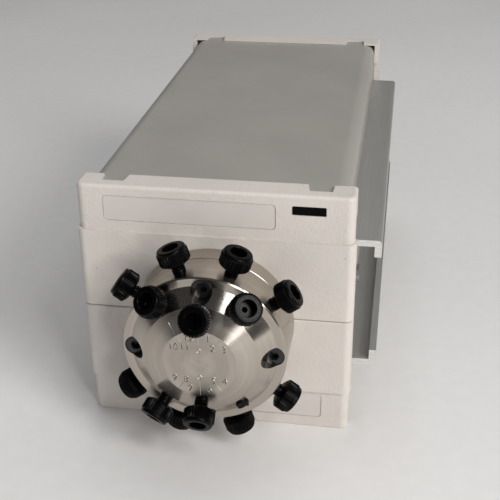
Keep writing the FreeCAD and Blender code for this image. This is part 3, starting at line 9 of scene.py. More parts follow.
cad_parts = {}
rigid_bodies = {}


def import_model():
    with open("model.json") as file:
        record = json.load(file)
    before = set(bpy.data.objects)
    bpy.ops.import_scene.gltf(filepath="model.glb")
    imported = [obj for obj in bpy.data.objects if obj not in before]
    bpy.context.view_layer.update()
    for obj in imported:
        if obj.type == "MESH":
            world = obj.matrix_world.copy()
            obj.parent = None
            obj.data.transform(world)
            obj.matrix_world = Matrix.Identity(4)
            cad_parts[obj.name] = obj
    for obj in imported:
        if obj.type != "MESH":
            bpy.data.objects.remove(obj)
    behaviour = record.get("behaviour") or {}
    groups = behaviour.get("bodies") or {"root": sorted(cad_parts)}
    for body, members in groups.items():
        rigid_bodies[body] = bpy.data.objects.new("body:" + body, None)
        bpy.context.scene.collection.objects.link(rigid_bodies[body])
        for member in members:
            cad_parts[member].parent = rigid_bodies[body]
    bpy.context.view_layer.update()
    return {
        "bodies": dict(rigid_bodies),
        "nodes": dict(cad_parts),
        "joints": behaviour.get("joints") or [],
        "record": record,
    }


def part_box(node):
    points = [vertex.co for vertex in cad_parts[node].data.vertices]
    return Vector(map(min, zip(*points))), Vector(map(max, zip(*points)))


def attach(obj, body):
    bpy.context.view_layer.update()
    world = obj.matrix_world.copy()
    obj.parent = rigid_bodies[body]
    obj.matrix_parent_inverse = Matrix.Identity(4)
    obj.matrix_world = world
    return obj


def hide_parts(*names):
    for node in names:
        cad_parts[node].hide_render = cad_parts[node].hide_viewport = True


bl_info = {
    "name": "Selector Valve Look",
    "version": (1, 0, 0),
    "blender": (4, 5, 0),
    "location": "View3D > Sidebar > Selector Valve",
    "description": "Finishes, small parts and stage for a selector valve module",
    "category": "Object",
}

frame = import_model()

MM = 0.001
JOINTS = {joint["child"]: joint for joint in frame["joints"]}
VALVE_AXIS = Vector(JOINTS["valve_rotor"]["pos_m"])
FACE_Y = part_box("stator_head")[0].y
FITTING_BODIES = sorted(name for name in frame["bodies"] if name.startswith("fitting_"))
TO_FRONT = Vector((0, -1, 0))
# The port that holds the stub, and the one that mirrors it across the valve's middle
BROKEN_PORT = 5
MIRROR_PORT = 2


class CaseLook(bpy.types.PropertyGroup):
    plastic: FloatVectorProperty(
        name="Plastic", description="Warm off-white of the moulded front and rear frames", subtype="COLOR",
        default=(0.655, 0.607, 0.562), min=0.0, max=1.0)
    plate: FloatVectorProperty(
        name="Plates", description="Smoother inserts in the front", subtype="COLOR",
        default=(0.630, 0.585, 0.548), min=0.0, max=1.0)
    cover: FloatVectorProperty(
        name="Cover paint", description="Grey-olive paint of the sheet cover", subtype="COLOR",
        default=(0.345, 0.330, 0.300), min=0.0, max=1.0)
    rail: FloatVectorProperty(
        name="Rail", description="Grey anodised aluminium", subtype="COLOR",
        default=(0.440, 0.432, 0.415), min=0.0, max=1.0)
    grain_size: FloatProperty(
        name="Grain size", description="Width of one grain of the moulded texture", subtype="DISTANCE",
        default=0.75 * MM, min=0.1 * MM, max=3 * MM)
    grain_depth: FloatProperty(
        name="Grain depth", description="Height of the moulded texture", subtype="DISTANCE",
        default=0.24 * MM, min=0.0, max=1.0 * MM)


class ValveLook(bpy.types.PropertyGroup):
    steel: FloatVectorProperty(
        name="Steel", description="Turned stainless steel of the head and base ring", subtype="COLOR",
        default=(0.502, 0.455, 0.402), min=0.0, max=1.0)
    groove: FloatProperty(
        name="Turning groove", description="Pitch of the turning marks", subtype="DISTANCE",
        default=0.12 * MM, min=0.02 * MM, max=1 * MM)
    number_height: FloatProperty(
        name="Number height", description="Height of the port numbers on the face", subtype="DISTANCE",
        default=2.6 * MM, min=1 * MM, max=4 * MM)
    stroke: FloatProperty(
        name="Tick width", description="Width of the tick marks", subtype="DISTANCE",
        default=0.22 * MM, min=0.05 * MM, max=1 * MM)


class FittingLook(bpy.types.PropertyGroup):
    plastic: FloatVectorProperty(
        name="Plastic", description="Black moulded polymer of the fittings", subtype="COLOR",
        default=(0.0012, 0.0012, 0.0014), min=0.0, max=1.0)
    head: FloatProperty(
        name="Rib radius", description="Radius of the head over its ribs", subtype="DISTANCE",
        default=5.55 * MM, min=3 * MM, max=8 * MM)
    collar: FloatProperty(
        name="Collar radius", description="Radius of the collar and of the grooves", subtype="DISTANCE",
        default=5.12 * MM, min=3 * MM, max=8 * MM)
    recess: FloatProperty(
        name="Recess radius", description="Radius of the deep recess in the head", subtype="DISTANCE",
        default=2.9 * MM, min=1 * MM, max=5 * MM)
    ribs: IntProperty(
        name="Ribs", description="Ribs round the head", default=34, min=8, max=72)
    pitch: FloatProperty(
        name="Thread pitch", description="Distance between two turns of the thread", subtype="DISTANCE",
        default=0.794 * MM, min=0.3 * MM, max=2 * MM)
    crest: FloatProperty(
        name="Thread radius", description="Outer radius of the thread on the necks", subtype="DISTANCE",
        default=2.44 * MM, min=1 * MM, max=4 * MM)
    steps: IntProperty(
        name="Steps a turn", description="Straight steps in one turn of the thread",
        default=24, min=8, max=64)


class StageLook(bpy.types.PropertyGroup):
    floor: FloatVectorProperty(
        name="Floor", description="Pale table top", subtype="COLOR",
        default=(0.775, 0.760, 0.750), min=0.0, max=1.0)
    key: FloatProperty(
        name="Key light", description="Power of the soft light in front on the right, in watts",
        default=13.3, min=0.0, max=80.0)
    ambient: FloatProperty(
        name="Ambient", description="Strength of the even light from all round",
        default=0.28, min=0.0, max=2.0)
    gloom: FloatProperty(
        name="Gloom", description="How much darker the room is in reflections",
        default=0.78, min=0.0, max=1.0)
    camera_place: FloatVectorProperty(
        name="Camera place", description="Where the camera stands", subtype="TRANSLATION", unit="LENGTH",
        default=(0.0611978, -0.3956892, 0.2272159))
    camera_turn: FloatVectorProperty(
        name="Camera turn", description="Which way the camera looks", subtype="EULER", unit="ROTATION",
        default=(math.radians(62.661), math.radians(0.5917), math.radians(9.106)))
    lens: FloatProperty(
        name="Lens", description="Focal length on a sensor 36 mm wide", default=68.25, min=20.0, max=200.0)


# Node helpers

def add(tree, kind, inputs=None, **settings):
    """A node with its settings, and its inputs set to values or linked to other nodes' outputs."""
    made = tree.nodes.new(kind)
    for name, value in settings.items():
        setattr(made, name, value)
    for name, value in (inputs or {}).items():
        if isinstance(value, bpy.types.NodeSocket):
            tree.links.new(value, made.inputs[name])
        else:
            made.inputs[name].default_value = value
    return made


def maths(tree, operation, first, second=0.0):
    """The result of one calculation with values or sockets."""
    return add(tree, "ShaderNodeMath", {0: first, 1: second}, operation=operation).outputs[0]


def blend_colors(tree, factor, first, second, blend_type="MIX"):
    """Two colours or sockets put together by a factor."""
    node = add(tree, "ShaderNodeMix", {"Factor": factor}, data_type="RGBA", blend_type=blend_type)
    for socket, value in ((node.inputs[6], first), (node.inputs[7], second)):
        if isinstance(value, bpy.types.NodeSocket):
            tree.links.new(value, socket)
        else:
            socket.default_value = (*value[:3], 1.0)
    return node.outputs[2]


def ramp(tree, value, low, high, start=0.0, end=1.0):
    """Map a value from low..high to start..end, smoothly and clamped."""
    node = add(tree, "ShaderNodeMapRange", {0: value, 1: low, 2: high, 3: start, 4: end},
               interpolation_type="SMOOTHSTEP")
    return node.outputs[0]


def noise(tree, vector, scale, detail=2.0, roughness=0.5):
    """Soft noise between 0 and 1 at a place."""
    return add(tree, "ShaderNodeTexNoise", {
        "Vector": vector, "Scale": scale, "Detail": detail, "Roughness": roughness}).outputs["Fac"]


def place_vector(tree):
    """The place on the object, in metres."""
    return add(tree, "ShaderNodeTexCoord").outputs["Object"]


def stretched(tree, vector, scale):
    """A place with each axis multiplied, so that a pattern on it gets long or short."""
    return add(tree, "ShaderNodeMapping", {"Vector": vector, "Scale": scale}).outputs[0]


def facing_front(tree):
    """How squarely the surface faces the front or the rear, from 0 to 1."""
    normal = add(tree, "ShaderNodeNewGeometry").outputs["Normal"]
    return maths(tree, "ABSOLUTE", add(tree, "ShaderNodeSeparateXYZ", {"Vector": normal}).outputs["Y"])


def new_group(name, inputs, build):
    """A shader node group, built once: inputs are names with defaults, and build gives the outputs."""
    if name in bpy.data.node_groups:
        return bpy.data.node_groups[name]
    group = bpy.data.node_groups.new(name, "ShaderNodeTree")
    for label, default in inputs.items():
        kind = "NodeSocketVector" if isinstance(default, tuple) else "NodeSocketFloat"
        group.interface.new_socket(name=label, in_out="INPUT", socket_type=kind).default_value = default
    outputs = build(group, group.nodes.new("NodeGroupInput").outputs)
    for label in outputs:
        group.interface.new_socket(name=label, in_out="OUTPUT", socket_type="NodeSocketFloat")
    result = group.nodes.new("NodeGroupOutput")
    for label, value in outputs.items():
        group.links.new(value, result.inputs[label])
    return group


def use_group(tree, group, **inputs):
    """The outputs of a group placed in a material with its own values."""
    return add(tree, "ShaderNodeGroup", inputs, node_tree=group).outputs


# Shared effects

def grain_group():
    """Fine moulded grain with soft patches of tone and small specks of dirt."""
    def build(group, given):
        place = place_vector(group)
        scale = maths(group, "DIVIDE", 1.0, given["Size"])
        fine = noise(group, place, scale, 3.0, 0.6)
        wide = noise(group, place, maths(group, "MULTIPLY", scale, 0.45), 1.0)
        height = maths(group, "ADD", maths(group, "MULTIPLY", fine, 0.65),
                       maths(group, "MULTIPLY", wide, 0.35))
        patches = noise(group, place, 34.0, 3.0)
        tone = ramp(group, patches, 0.3, 0.7, 0.955, 1.03)
        speck = add(group, "ShaderNodeTexVoronoi", {"Scale": 240.0, "Vector": place}, feature="F1")
        near_speck = ramp(group, speck.outputs["Distance"], 0.05, 0.11, 1.0, 0.0)
        chosen = ramp(group, noise(group, place, 90.0, 1.0), 0.60, 0.68)
        specks = maths(group, "MULTIPLY", maths(group, "MULTIPLY", near_speck, chosen), given["Dirt"])
        return {"Height": height, "Tone": tone, "Specks": specks}
    return new_group("Moulded Grain", {"Size": 0.0005, "Dirt": 0.5}, build)


def turning_group():
    """Concentric turning marks round the valve's axis, with light and dark bands."""
    def build(group, given):
        split = add(group, "ShaderNodeSeparateXYZ", {"Vector": place_vector(group)})
        up = maths(group, "SUBTRACT", split.outputs["Z"], VALVE_AXIS.z)
        square = maths(group, "ADD", maths(group, "POWER", split.outputs["X"], 2.0),
                       maths(group, "POWER", up, 2.0))
        around = maths(group, "ARCTAN2", up, split.outputs["X"])
        spot = add(group, "ShaderNodeCombineXYZ", {
            "X": maths(group, "SQRT", square), "Y": split.outputs["Y"],
            "Z": maths(group, "MULTIPLY", around, 0.00035)}).outputs[0]
        lines = noise(group, spot, maths(group, "DIVIDE", 1.0, given["Pitch"]), 2.0, 0.65)
        bands = noise(group, spot, 420.0)
        smear = noise(group, place_vector(group), 130.0, 4.0, 0.6)
        return {"Height": lines, "Bands": bands, "Smear": smear}
    return new_group("Turning Marks", {"Pitch": 0.0001}, build)


def drawn_group():
    """Fine lines along one direction, as drawing or brushing leaves them."""
    def build(group, given):
        place = stretched(group, place_vector(group), given["Stretch"])
        return {"Lines": noise(group, place, given["Scale"], 3.0, 0.6)}
    return new_group("Drawn Grain", {"Scale": 1250.0, "Stretch": (1.0, 1.0, 1.0)}, build)


def scratch_group():
    """A few long thin scratches in three directions."""
    # Angle of each direction, how thin its cells are, and how rare its scratches are
    ways = ((0.35, 14.0, 0.56), (-0.9, 22.0, 0.60), (1.25, 18.0, 0.60))

    def build(group, given):
        place = place_vector(group)
        total = 0.0
        for turn, stretch, rarity in ways:
            spun = add(group, "ShaderNodeVectorRotate", {"Vector": place, "Angle": turn},
                       rotation_type="Z_AXIS")
            long_way = stretched(group, spun.outputs[0], (stretch, 1.0, 1.0))
            cell = add(group, "ShaderNodeTexVoronoi", {"Scale": 26.0, "Vector": long_way},
                       feature="DISTANCE_TO_EDGE")
            line = ramp(group, cell.outputs["Distance"], 0.004, 0.022, 1.0, 0.0)
            patches = noise(group, place, 30.0 + 9.0 * stretch / 14.0, 1.0)
            mark = maths(group, "MULTIPLY", line, ramp(group, patches, rarity, rarity + 0.06))
            total = maths(group, "MAXIMUM", total, mark)
        return {"Mask": maths(group, "MULTIPLY", total, given["Amount"])}
    return new_group("Light Scratches", {"Amount": 0.5}, build)


# Materials

def new_material(name):
    """A material with its node tree and its Principled shader."""
    made = bpy.data.materials.new(name)
    made.use_nodes = True
    tree = made.node_tree
    return made, tree, tree.nodes["Principled BSDF"]


def set_shader(shader, **values):
    """Set values that are the same all over the surface."""
    for name, value in values.items():
        shader.inputs[name.replace("_", " ")].default_value = value


def feed(tree, shader, **sockets):
    """Link values that change over the surface to the shader."""
    for name, socket in sockets.items():
        tree.links.new(socket, shader.inputs[name.replace("_", " ")])


def bump(tree, shader, height, distance):
    """Give the surface a relief of a height in metres."""
    node = add(tree, "ShaderNodeBump", {"Height": height, "Distance": distance, "Strength": 1.0})
    feed(tree, shader, Normal=node.outputs["Normal"])


def grained(name, color, size, depth, roughness, dirt=0.4, specular=0.5):
    """Moulded plastic or paint: grain as bump, patches of tone, and specks."""
    made, tree, shader = new_material(name)
    grain = use_group(tree, grain_group(), Size=size, Dirt=dirt)
    toned = blend_colors(tree, 1.0, color, grain["Tone"], "MULTIPLY")
    dirty = blend_colors(tree, grain["Specks"], toned, [part * 0.35 for part in color])
    rough = ramp(tree, grain["Height"], 0.3, 0.7, roughness - 0.06, roughness + 0.06)
    feed(tree, shader, Base_Color=dirty, Roughness=rough)
    set_shader(shader, Specular_IOR_Level=specular)
    bump(tree, shader, grain["Height"], depth)
    return made


def case_plastic():
    """Warm off-white plastic with a visible moulded grain."""
    look = bpy.context.scene.case_look
    return grained("Frame Plastic", look.plastic, look.grain_size, look.grain_depth, 0.55)


def plate_plastic():
    """The same plastic, almost smooth."""
    look = bpy.context.scene.case_look
    return grained("Plate Plastic", look.plate, look.grain_size / 3, look.grain_depth / 8, 0.38, 0.25)


def black_polymer():
    """Black moulded polymer of the fittings."""
    look = bpy.context.scene.fitting_look
    return grained("Black Polymer", look.plastic, 0.35 * MM, 0.008 * MM, 0.29, 0.0, 0.09)


def cover_paint():
    """Satin paint over sheet, with fine orange peel and a few pale scratches."""
    look = bpy.context.scene.case_look
    made, tree, shader = new_material("Cover Paint")
    grain = use_group(tree, grain_group(), Size=0.9 * MM, Dirt=0.25)
    scratches = use_group(tree, scratch_group(), Amount=0.14)["Mask"]
    toned = blend_colors(tree, 1.0, look.cover, grain["Tone"], "MULTIPLY")
    marked = blend_colors(tree, scratches, toned, (0.52, 0.51, 0.48))
    feed(tree, shader, Base_Color=marked, Roughness=ramp(tree, scratches, 0.0, 1.0, 0.43, 0.30))
    bump(tree, shader, grain["Height"], 0.012 * MM)
    return made


def turned_steel(name="Turned Steel", smooth=0.20, spread=0.9):
    """Stainless steel with turning marks that draw the light out across them."""
    look = bpy.context.scene.valve_look
    made, tree, shader = new_material(name)
    turning = use_group(tree, turning_group(), Pitch=look.groove)
    tone = ramp(tree, turning["Bands"], 0.25, 0.75, 0.90, 1.05)
    toned = blend_colors(tree, 1.0, look.steel, tone, "MULTIPLY")
    around = add(tree, "ShaderNodeTangent", direction_type="RADIAL", axis="Y").outputs["Tangent"]
    feed(tree, shader, Base_Color=toned, Tangent=around,
         Roughness=ramp(tree, turning["Smear"], 0.3, 0.75, smooth, smooth + 0.07))
    set_shader(shader, Metallic=1.0, Anisotropic=spread, Anisotropic_Rotation=0.25)
    bump(tree, shader, turning["Height"], 0.0022 * MM)
    return made


def blasted_steel():
    """The base ring's duller steel."""
    return turned_steel("Blasted Steel", 0.36, 0.5)


def plain_metal(name, color, roughness, grain=0.8 * MM):
    """Metal with a drawn grain along the case and a little uneven gloss."""
    made, tree, shader = new_material(name)
    lines = use_group(tree, drawn_group(), Scale=1.0 / grain, Stretch=(1.0, 1.0 / 14.0, 1.0))["Lines"]
    patches = noise(tree, place_vector(tree), 60.0, 3.0)
    tone = ramp(tree, lines, 0.3, 0.7, 0.94, 1.05)
    feed(tree, shader, Base_Color=blend_colors(tree, 1.0, color, tone, "MULTIPLY"),
         Roughness=ramp(tree, patches, 0.3, 0.7, roughness - 0.05, roughness + 0.07))
    set_shader(shader, Metallic=1.0)
    bump(tree, shader, lines, 0.004 * MM)
    return made


def rail_metal():
    """Anodised extrusion: grey and satin along its length, bright where it was sawn."""
    look = bpy.context.scene.case_look
    made, tree, shader = new_material("Rail Metal")
    sawn = ramp(tree, facing_front(tree), 0.8, 0.95)
    lines = use_group(tree, drawn_group(), Scale=2600.0, Stretch=(1.0, 0.02, 1.0))["Lines"]
    teeth = noise(tree, stretched(tree, place_vector(tree), (0.1, 1.0, 1.0)), 3800.0, 2.0)
    tone = blend_colors(tree, 1.0, look.rail, ramp(tree, lines, 0.3, 0.7, 0.93, 1.06), "MULTIPLY")
    bright = blend_colors(tree, 1.0, (0.80, 0.79, 0.77), ramp(tree, teeth, 0.3, 0.7, 0.88, 1.05), "MULTIPLY")
    feed(tree, shader, Base_Color=blend_colors(tree, sawn, tone, bright),
         Roughness=ramp(tree, sawn, 0.0, 1.0, 0.42, 0.36), Metallic=ramp(tree, sawn, 0.0, 1.0, 0.55, 0.75))
    height = maths(tree, "ADD", maths(tree, "MULTIPLY", lines, maths(tree, "SUBTRACT", 1.0, sawn)),
                   maths(tree, "MULTIPLY", teeth, sawn))
    bump(tree, shader, height, 0.006 * MM)
    return made


def window_plastic():
    """Smoked glossy window with faint wiping marks."""
    made, tree, shader = new_material("Smoked Window")
    wiped = noise(tree, place_vector(tree), 220.0, 3.0)
    feed(tree, shader, Roughness=ramp(tree, wiped, 0.35, 0.75, 0.08, 0.18),
         Base_Color=blend_colors(tree, wiped, (0.0008, 0.0008, 0.0012), (0.003, 0.0026, 0.0035)))
    set_shader(shader, Specular_IOR_Level=0.06)
    return made


def engraved():
    """Cut strokes: a dull dark floor, with flanks painted near white as a painted highlight."""
    made, tree, shader = new_material("Engraved Stroke")
    wiped = noise(tree, place_vector(tree), 900.0, 2.0)
    # Painted highlight: faces that turn away from the front are coloured near white, standing in for the
    # glint on the cut flanks.
    painted_flank_highlight = ramp(tree, facing_front(tree), 0.80, 0.95, 1.0, 0.0)
    floor = blend_colors(tree, wiped, (0.10, 0.092, 0.082), (0.26, 0.24, 0.22))
    feed(tree, shader, Base_Color=blend_colors(tree, painted_flank_highlight, floor, (0.92, 0.90, 0.86)))
    set_shader(shader, Metallic=1.0, Roughness=0.34)
    return made


def broken_polymer():
    """Torn black polymer: matt, with paler stress marks."""
    made, tree, shader = new_material("Torn Polymer")
    torn = noise(tree, place_vector(tree), 1600.0, 4.0, 0.7)
    pale = ramp(tree, torn, 0.60, 0.78)
    feed(tree, shader, Base_Color=blend_colors(tree, pale, (0.0015, 0.0015, 0.0015), (0.03, 0.029, 0.028)))
    set_shader(shader, Roughness=0.45, Specular_IOR_Level=0.15)
    bump(tree, shader, torn, 0.05 * MM)
    return made


def mark_paint():
    """Printed pale marks, a little worn."""
    made, tree, shader = new_material("Mark Paint")
    worn = ramp(tree, noise(tree, place_vector(tree), 1400.0, 3.0), 0.3, 0.6)
    feed(tree, shader, Base_Color=blend_colors(tree, worn, (0.55, 0.55, 0.53), (0.78, 0.78, 0.76)))
    set_shader(shader, Roughness=0.5)
    return made


SLOT_FINISHES = {
    "case_plastic": case_plastic,
    "plate_plastic": plate_plastic,
    "window_plastic": window_plastic,
    "cover_paint": cover_paint,
    "rail_metal": rail_metal,
    "valve_steel": turned_steel,
    "fitting_plastic": black_polymer,
    "sheet_steel": lambda: plain_metal("Plated Sheet", (0.55, 0.55, 0.54), 0.38),
    "bright_steel": lambda: plain_metal("Bright Steel", (0.62, 0.61, 0.60), 0.25, 0.3 * MM),
    "black_steel": lambda: grained(
        "Black Oxide", (0.008, 0.008, 0.009), 0.4 * MM, 0.004 * MM, 0.26, 0.1, 0.55),
    "gear_brass": lambda: plain_metal("Gear Brass", (0.72, 0.50, 0.20), 0.28, 0.3 * MM),
    "seal_polymer": lambda: grained("Seal Polymer", (0.35, 0.25, 0.14), 0.5 * MM, 0.006 * MM, 0.4, 0.1),
    "motor_black": lambda: grained("Motor Paint", (0.016, 0.016, 0.017), 0.6 * MM, 0.01 * MM, 0.4, 0.1),
    "board_green": lambda: grained("Board Mask", (0.012, 0.085, 0.035), 0.6 * MM, 0.01 * MM, 0.35, 0.2),
    "socket_black": lambda: grained(
        "Socket Plastic", (0.016, 0.016, 0.017), 0.4 * MM, 0.01 * MM, 0.45, 0.1),
}


def material_named(name, make):
    """A material that is there already, or a new one."""
    return bpy.data.materials.get(name) or make()


# Mesh helpers

def place_piece(name, mesh, material, body):
    """An object for a mesh that is already in the frame's place, riding on a body."""
    mesh.materials.clear()
    mesh.materials.append(material)
    piece = bpy.data.objects.new(name, mesh)
    bpy.context.scene.collection.objects.link(piece)
    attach(piece, body)
    return piece


def new_piece(name, vertices, faces, material, body, smooth_angle=None):
    """A piece from lists of vertices and faces, smooth where its faces meet at less than an angle."""
    mesh = bpy.data.meshes.new(name)
    mesh.from_pydata([tuple(vertex) for vertex in vertices], [], faces)
    mesh.validate()
    mesh.update()
    piece = place_piece(name, mesh, material, body)
    if smooth_angle is not None:
        mesh.shade_smooth()
        mesh.set_sharp_from_angle(angle=smooth_angle)
    return piece


def join(vertices, faces, more_vertices, more_faces):
    """Add a second mesh to the lists of the first."""
    faces += [tuple(index + len(vertices) for index in face) for face in more_faces]
    vertices += more_vertices


def axis_frame(place, way):
    """A matrix whose Z runs along way, with its origin at place."""
    turn = Vector(way).to_track_quat("Z", "Y").to_matrix().to_4x4()
    return Matrix.Translation(Vector(place)) @ turn


def moved(matrix, vertices):
    """Vertices moved by a matrix."""
    return [matrix @ Vector(vertex) for vertex in vertices]


def lathe(rings, count):
    """Vertices and faces of a closed body of revolution, from rings of radii round and a height."""
    vertices = []
    faces = []
    for radii, height in rings:
        for k in range(count):
            angle = 2 * math.pi * k / count
            vertices.append((radii[k] * math.cos(angle), radii[k] * math.sin(angle), height))
    for ring in range(len(rings)):
        below = ring * count
        above = (ring + 1) % len(rings) * count
        for k in range(count):
            after = (k + 1) % count
            faces.append((below + k, below + after, above + after, above + k))
    return vertices, faces


def thread_mesh(pitch, root, crest, low, high, steps):
    """A helical ridge with a triangular section, tapered away at both ends."""
    count = int((high - low) / pitch * steps)
    ease_steps = steps / 3
    vertices = []
    for k in range(count + 1):
        angle = 2 * math.pi * k / steps
        height = low + pitch * k / steps
        top = root + (crest - root) * min(1.0, k / ease_steps, (count - k) / ease_steps)
        for radius, shift in ((root, -0.42), (top, -0.08), (top, 0.08), (root, 0.42)):
            vertices.append((radius * math.cos(angle), radius * math.sin(angle), height + shift * pitch))
    faces = []
    for k in range(count):
        for j in range(4):
            here = 4 * k + j
            beside = 4 * k + (j + 1) % 4
            faces.append((here, beside, beside + 4, here + 4))
    faces.append((3, 2, 1, 0))
    faces.append(tuple(4 * count + j for j in range(4)))
    return vertices, faces


def ridge(start, end, normal, width, height):
    """Vertices and faces of a low roof-shaped bar from start to end on a surface."""
    side = (end - start).normalized().cross(normal).normalized() * width / 2
    base = normal * (-0.3 * height)
    rise = normal * height
    ends = []
    for point in (start, end):
        ends += [point + base - side, point + rise - side * 0.35,
                 point + rise + side * 0.35, point + base + side]
    return ends, [(0, 1, 5, 4), (1, 2, 6, 5), (2, 3, 7, 6), (3, 0, 4, 7), (3, 2, 1, 0), (4, 5, 6, 7)]


# Places on the head

def face_point(azimuth, radius):
    """A point on the head's flat face, by azimuth in degrees and radius in millimetres."""
    turn = math.radians(azimuth)
    return Vector((radius * MM * math.cos(turn), FACE_Y, VALVE_AXIS.z + radius * MM * math.sin(turn)))


def cone_point(azimuth, radius):
    """A point on the inner cone of the head, found by a ray from in front along the valve's axis."""
    spot = face_point(azimuth, radius) + TO_FRONT * 5 * MM
    hit, place, _, _ = frame["nodes"]["stator_head"].ray_cast(spot, -TO_FRONT)
    if not hit:
        raise RuntimeError("no cone at %.1f mm" % radius)
    return place


def numbered_ports():
    """Azimuth in degrees and tilt of each numbered port, from the joints and one mirrored."""
    found = {}
    for body in FITTING_BODIES:
        name = body.split("_")[1]
        if name.isdigit():
            axis = Vector(JOINTS[body]["axis"])
            found[int(name)] = (math.degrees(math.atan2(axis.z, axis.x)), -axis.y > 0.3)
    found[BROKEN_PORT] = (-found[MIRROR_PORT][0], found[MIRROR_PORT][1])
    return found


# Operators

class VALVE_OT_dress_nodes(bpy.types.Operator):
    """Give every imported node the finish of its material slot"""
    bl_idname = "selector_valve.dress_nodes"
    bl_label = "Finish the built parts"

    def execute(self, context):
        slots = {part["node"]: part["material_slot"] for part in frame["record"]["subparts"]}
        missing = sorted(set(slots.values()) - set(SLOT_FINISHES))
        if missing:
            raise RuntimeError("no finish for slots %s" % missing)
        made = {slot: SLOT_FINISHES[slot]() for slot in sorted(set(slots.values()))}
        for name, node in frame["nodes"].items():
            node.data.materials.clear()
            node.data.materials.append(made[slots[name]])
        frame["nodes"]["valve_base"].data.materials[0] = blasted_steel()
        return {"FINISHED"}


class VALVE_OT_fittings(bpy.types.Operator):
    """Mould the ribbed heads of the finger-tight fittings"""
    bl_idname = "selector_valve.fittings"
    bl_label = "Ribbed fittings"
    # Heights along the axis, from the mouth of the port
    NOSE = -10.4 * MM
    SHANK = -8.2 * MM
    SEAT = 0.2 * MM
    NECK = 3.0 * MM
    SHOULDER = 3.75 * MM
    TOP = 9.2 * MM
    COLLAR_LENGTH = 1.2 * MM
    RECESS_DEPTH = 4.2 * MM
    # Radii below the head
    NOSE_RADIUS = 1.1 * MM
    SHANK_RADIUS = 2.38 * MM
    CORE_RADIUS = 2.03 * MM
    BORE_RADIUS = 0.85 * MM
    # How far the underside's flat and slope lie inside the collar, and the edges' chamfers and rounding
    FLAT_INSET = 1.2 * MM
    SLOPE_INSET = 0.25 * MM
    EASE = 0.16 * MM
    ROUND = 0.7 * MM
    ROUND_STEPS = 4
    RIB_STEPS = (0.0, 0.62, 1.0, 1.0, 0.62, 0.0)

    def profile(self, look):
        """Radius, rise of the ribs and height of each ring, from the nose up and back down the bore."""
        collar_low = self.TOP - self.COLLAR_LENGTH
        floor = self.TOP - self.RECESS_DEPTH
        rings = [(self.NOSE_RADIUS, 0, self.NOSE), (self.SHANK_RADIUS, 0, self.SHANK),
                 (self.SHANK_RADIUS, 0, self.SEAT), (self.CORE_RADIUS, 0, self.SEAT),
                 (self.CORE_RADIUS, 0, self.NECK - self.EASE), (self.CORE_RADIUS + self.EASE, 0, self.NECK),
                 (look.collar - self.FLAT_INSET, 0, self.NECK),
                 (look.collar - self.SLOPE_INSET, 0, self.SHOULDER - self.EASE),
                 (look.collar, 0, self.SHOULDER), (look.collar, 1, self.SHOULDER + 2 * self.EASE),
                 (look.collar, 1, collar_low - 2 * self.EASE), (look.collar, 0, collar_low)]
        for step in range(self.ROUND_STEPS + 1):
            turn = math.radians(90 * step / self.ROUND_STEPS)
            rings.append((look.collar - self.ROUND * (1 - math.cos(turn)), 0,
                          self.TOP - self.ROUND * (1 - math.sin(turn))))
        rings += [(look.recess + self.EASE, 0, self.TOP), (look.recess, 0, self.TOP - self.EASE),
                  (look.recess, 0, floor + self.EASE), (look.recess - self.EASE, 0, floor),
                  (self.BORE_RADIUS + self.EASE, 0, floor), (self.BORE_RADIUS, 0, floor - self.EASE),
                  (self.BORE_RADIUS, 0, self.NOSE)]
        return rings

    def execute(self, context):
        look = context.scene.fitting_look
        chance = random.Random(11)
        steps = len(self.RIB_STEPS)
        count = look.ribs * steps
        rise = look.head - look.collar
        rings = [([radius + amount * rise * self.RIB_STEPS[k % steps] for k in range(count)], height)
                 for radius, amount, height in self.profile(look)]
        vertices, faces = lathe(rings, count)
        for body in FITTING_BODIES:
            name = body.replace("_body", "")
            joint = JOINTS[body]
            turn = Matrix.Rotation(chance.uniform(0, 6.28), 4, "Z")
            move = axis_frame(joint["pos_m"], joint["axis"]) @ turn
            piece = new_piece(name + "_head", moved(move, vertices), faces,
                              bpy.data.materials["Black Polymer"], body, math.radians(38))
            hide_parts(name)
        return {"FINISHED"}


class VALVE_OT_threads(bpy.types.Operator):
    """Cut the thread ridges on the neck of each fitting"""
    bl_idname = "selector_valve.threads"
    bl_label = "Fitting threads"
    DEPTH = 0.44 * MM
    LOW = 0.25 * MM
    HIGH = 2.85 * MM
    FEWEST_FACES = 10

    def execute(self, context):
        look = context.scene.fitting_look
        vertices, faces = thread_mesh(look.pitch, look.crest - self.DEPTH, look.crest, self.LOW, self.HIGH,
                                      look.steps)
        for body in FITTING_BODIES:
            joint = JOINTS[body]
            move = axis_frame(joint["pos_m"], joint["axis"])
            piece = new_piece(body.replace("_body", "_thread"), moved(move, vertices), faces,
                              bpy.data.materials["Black Polymer"], body, math.radians(35))
            if len(piece.data.polygons) < self.FEWEST_FACES:
                raise RuntimeError("%s has no thread" % body)
        return {"FINISHED"}


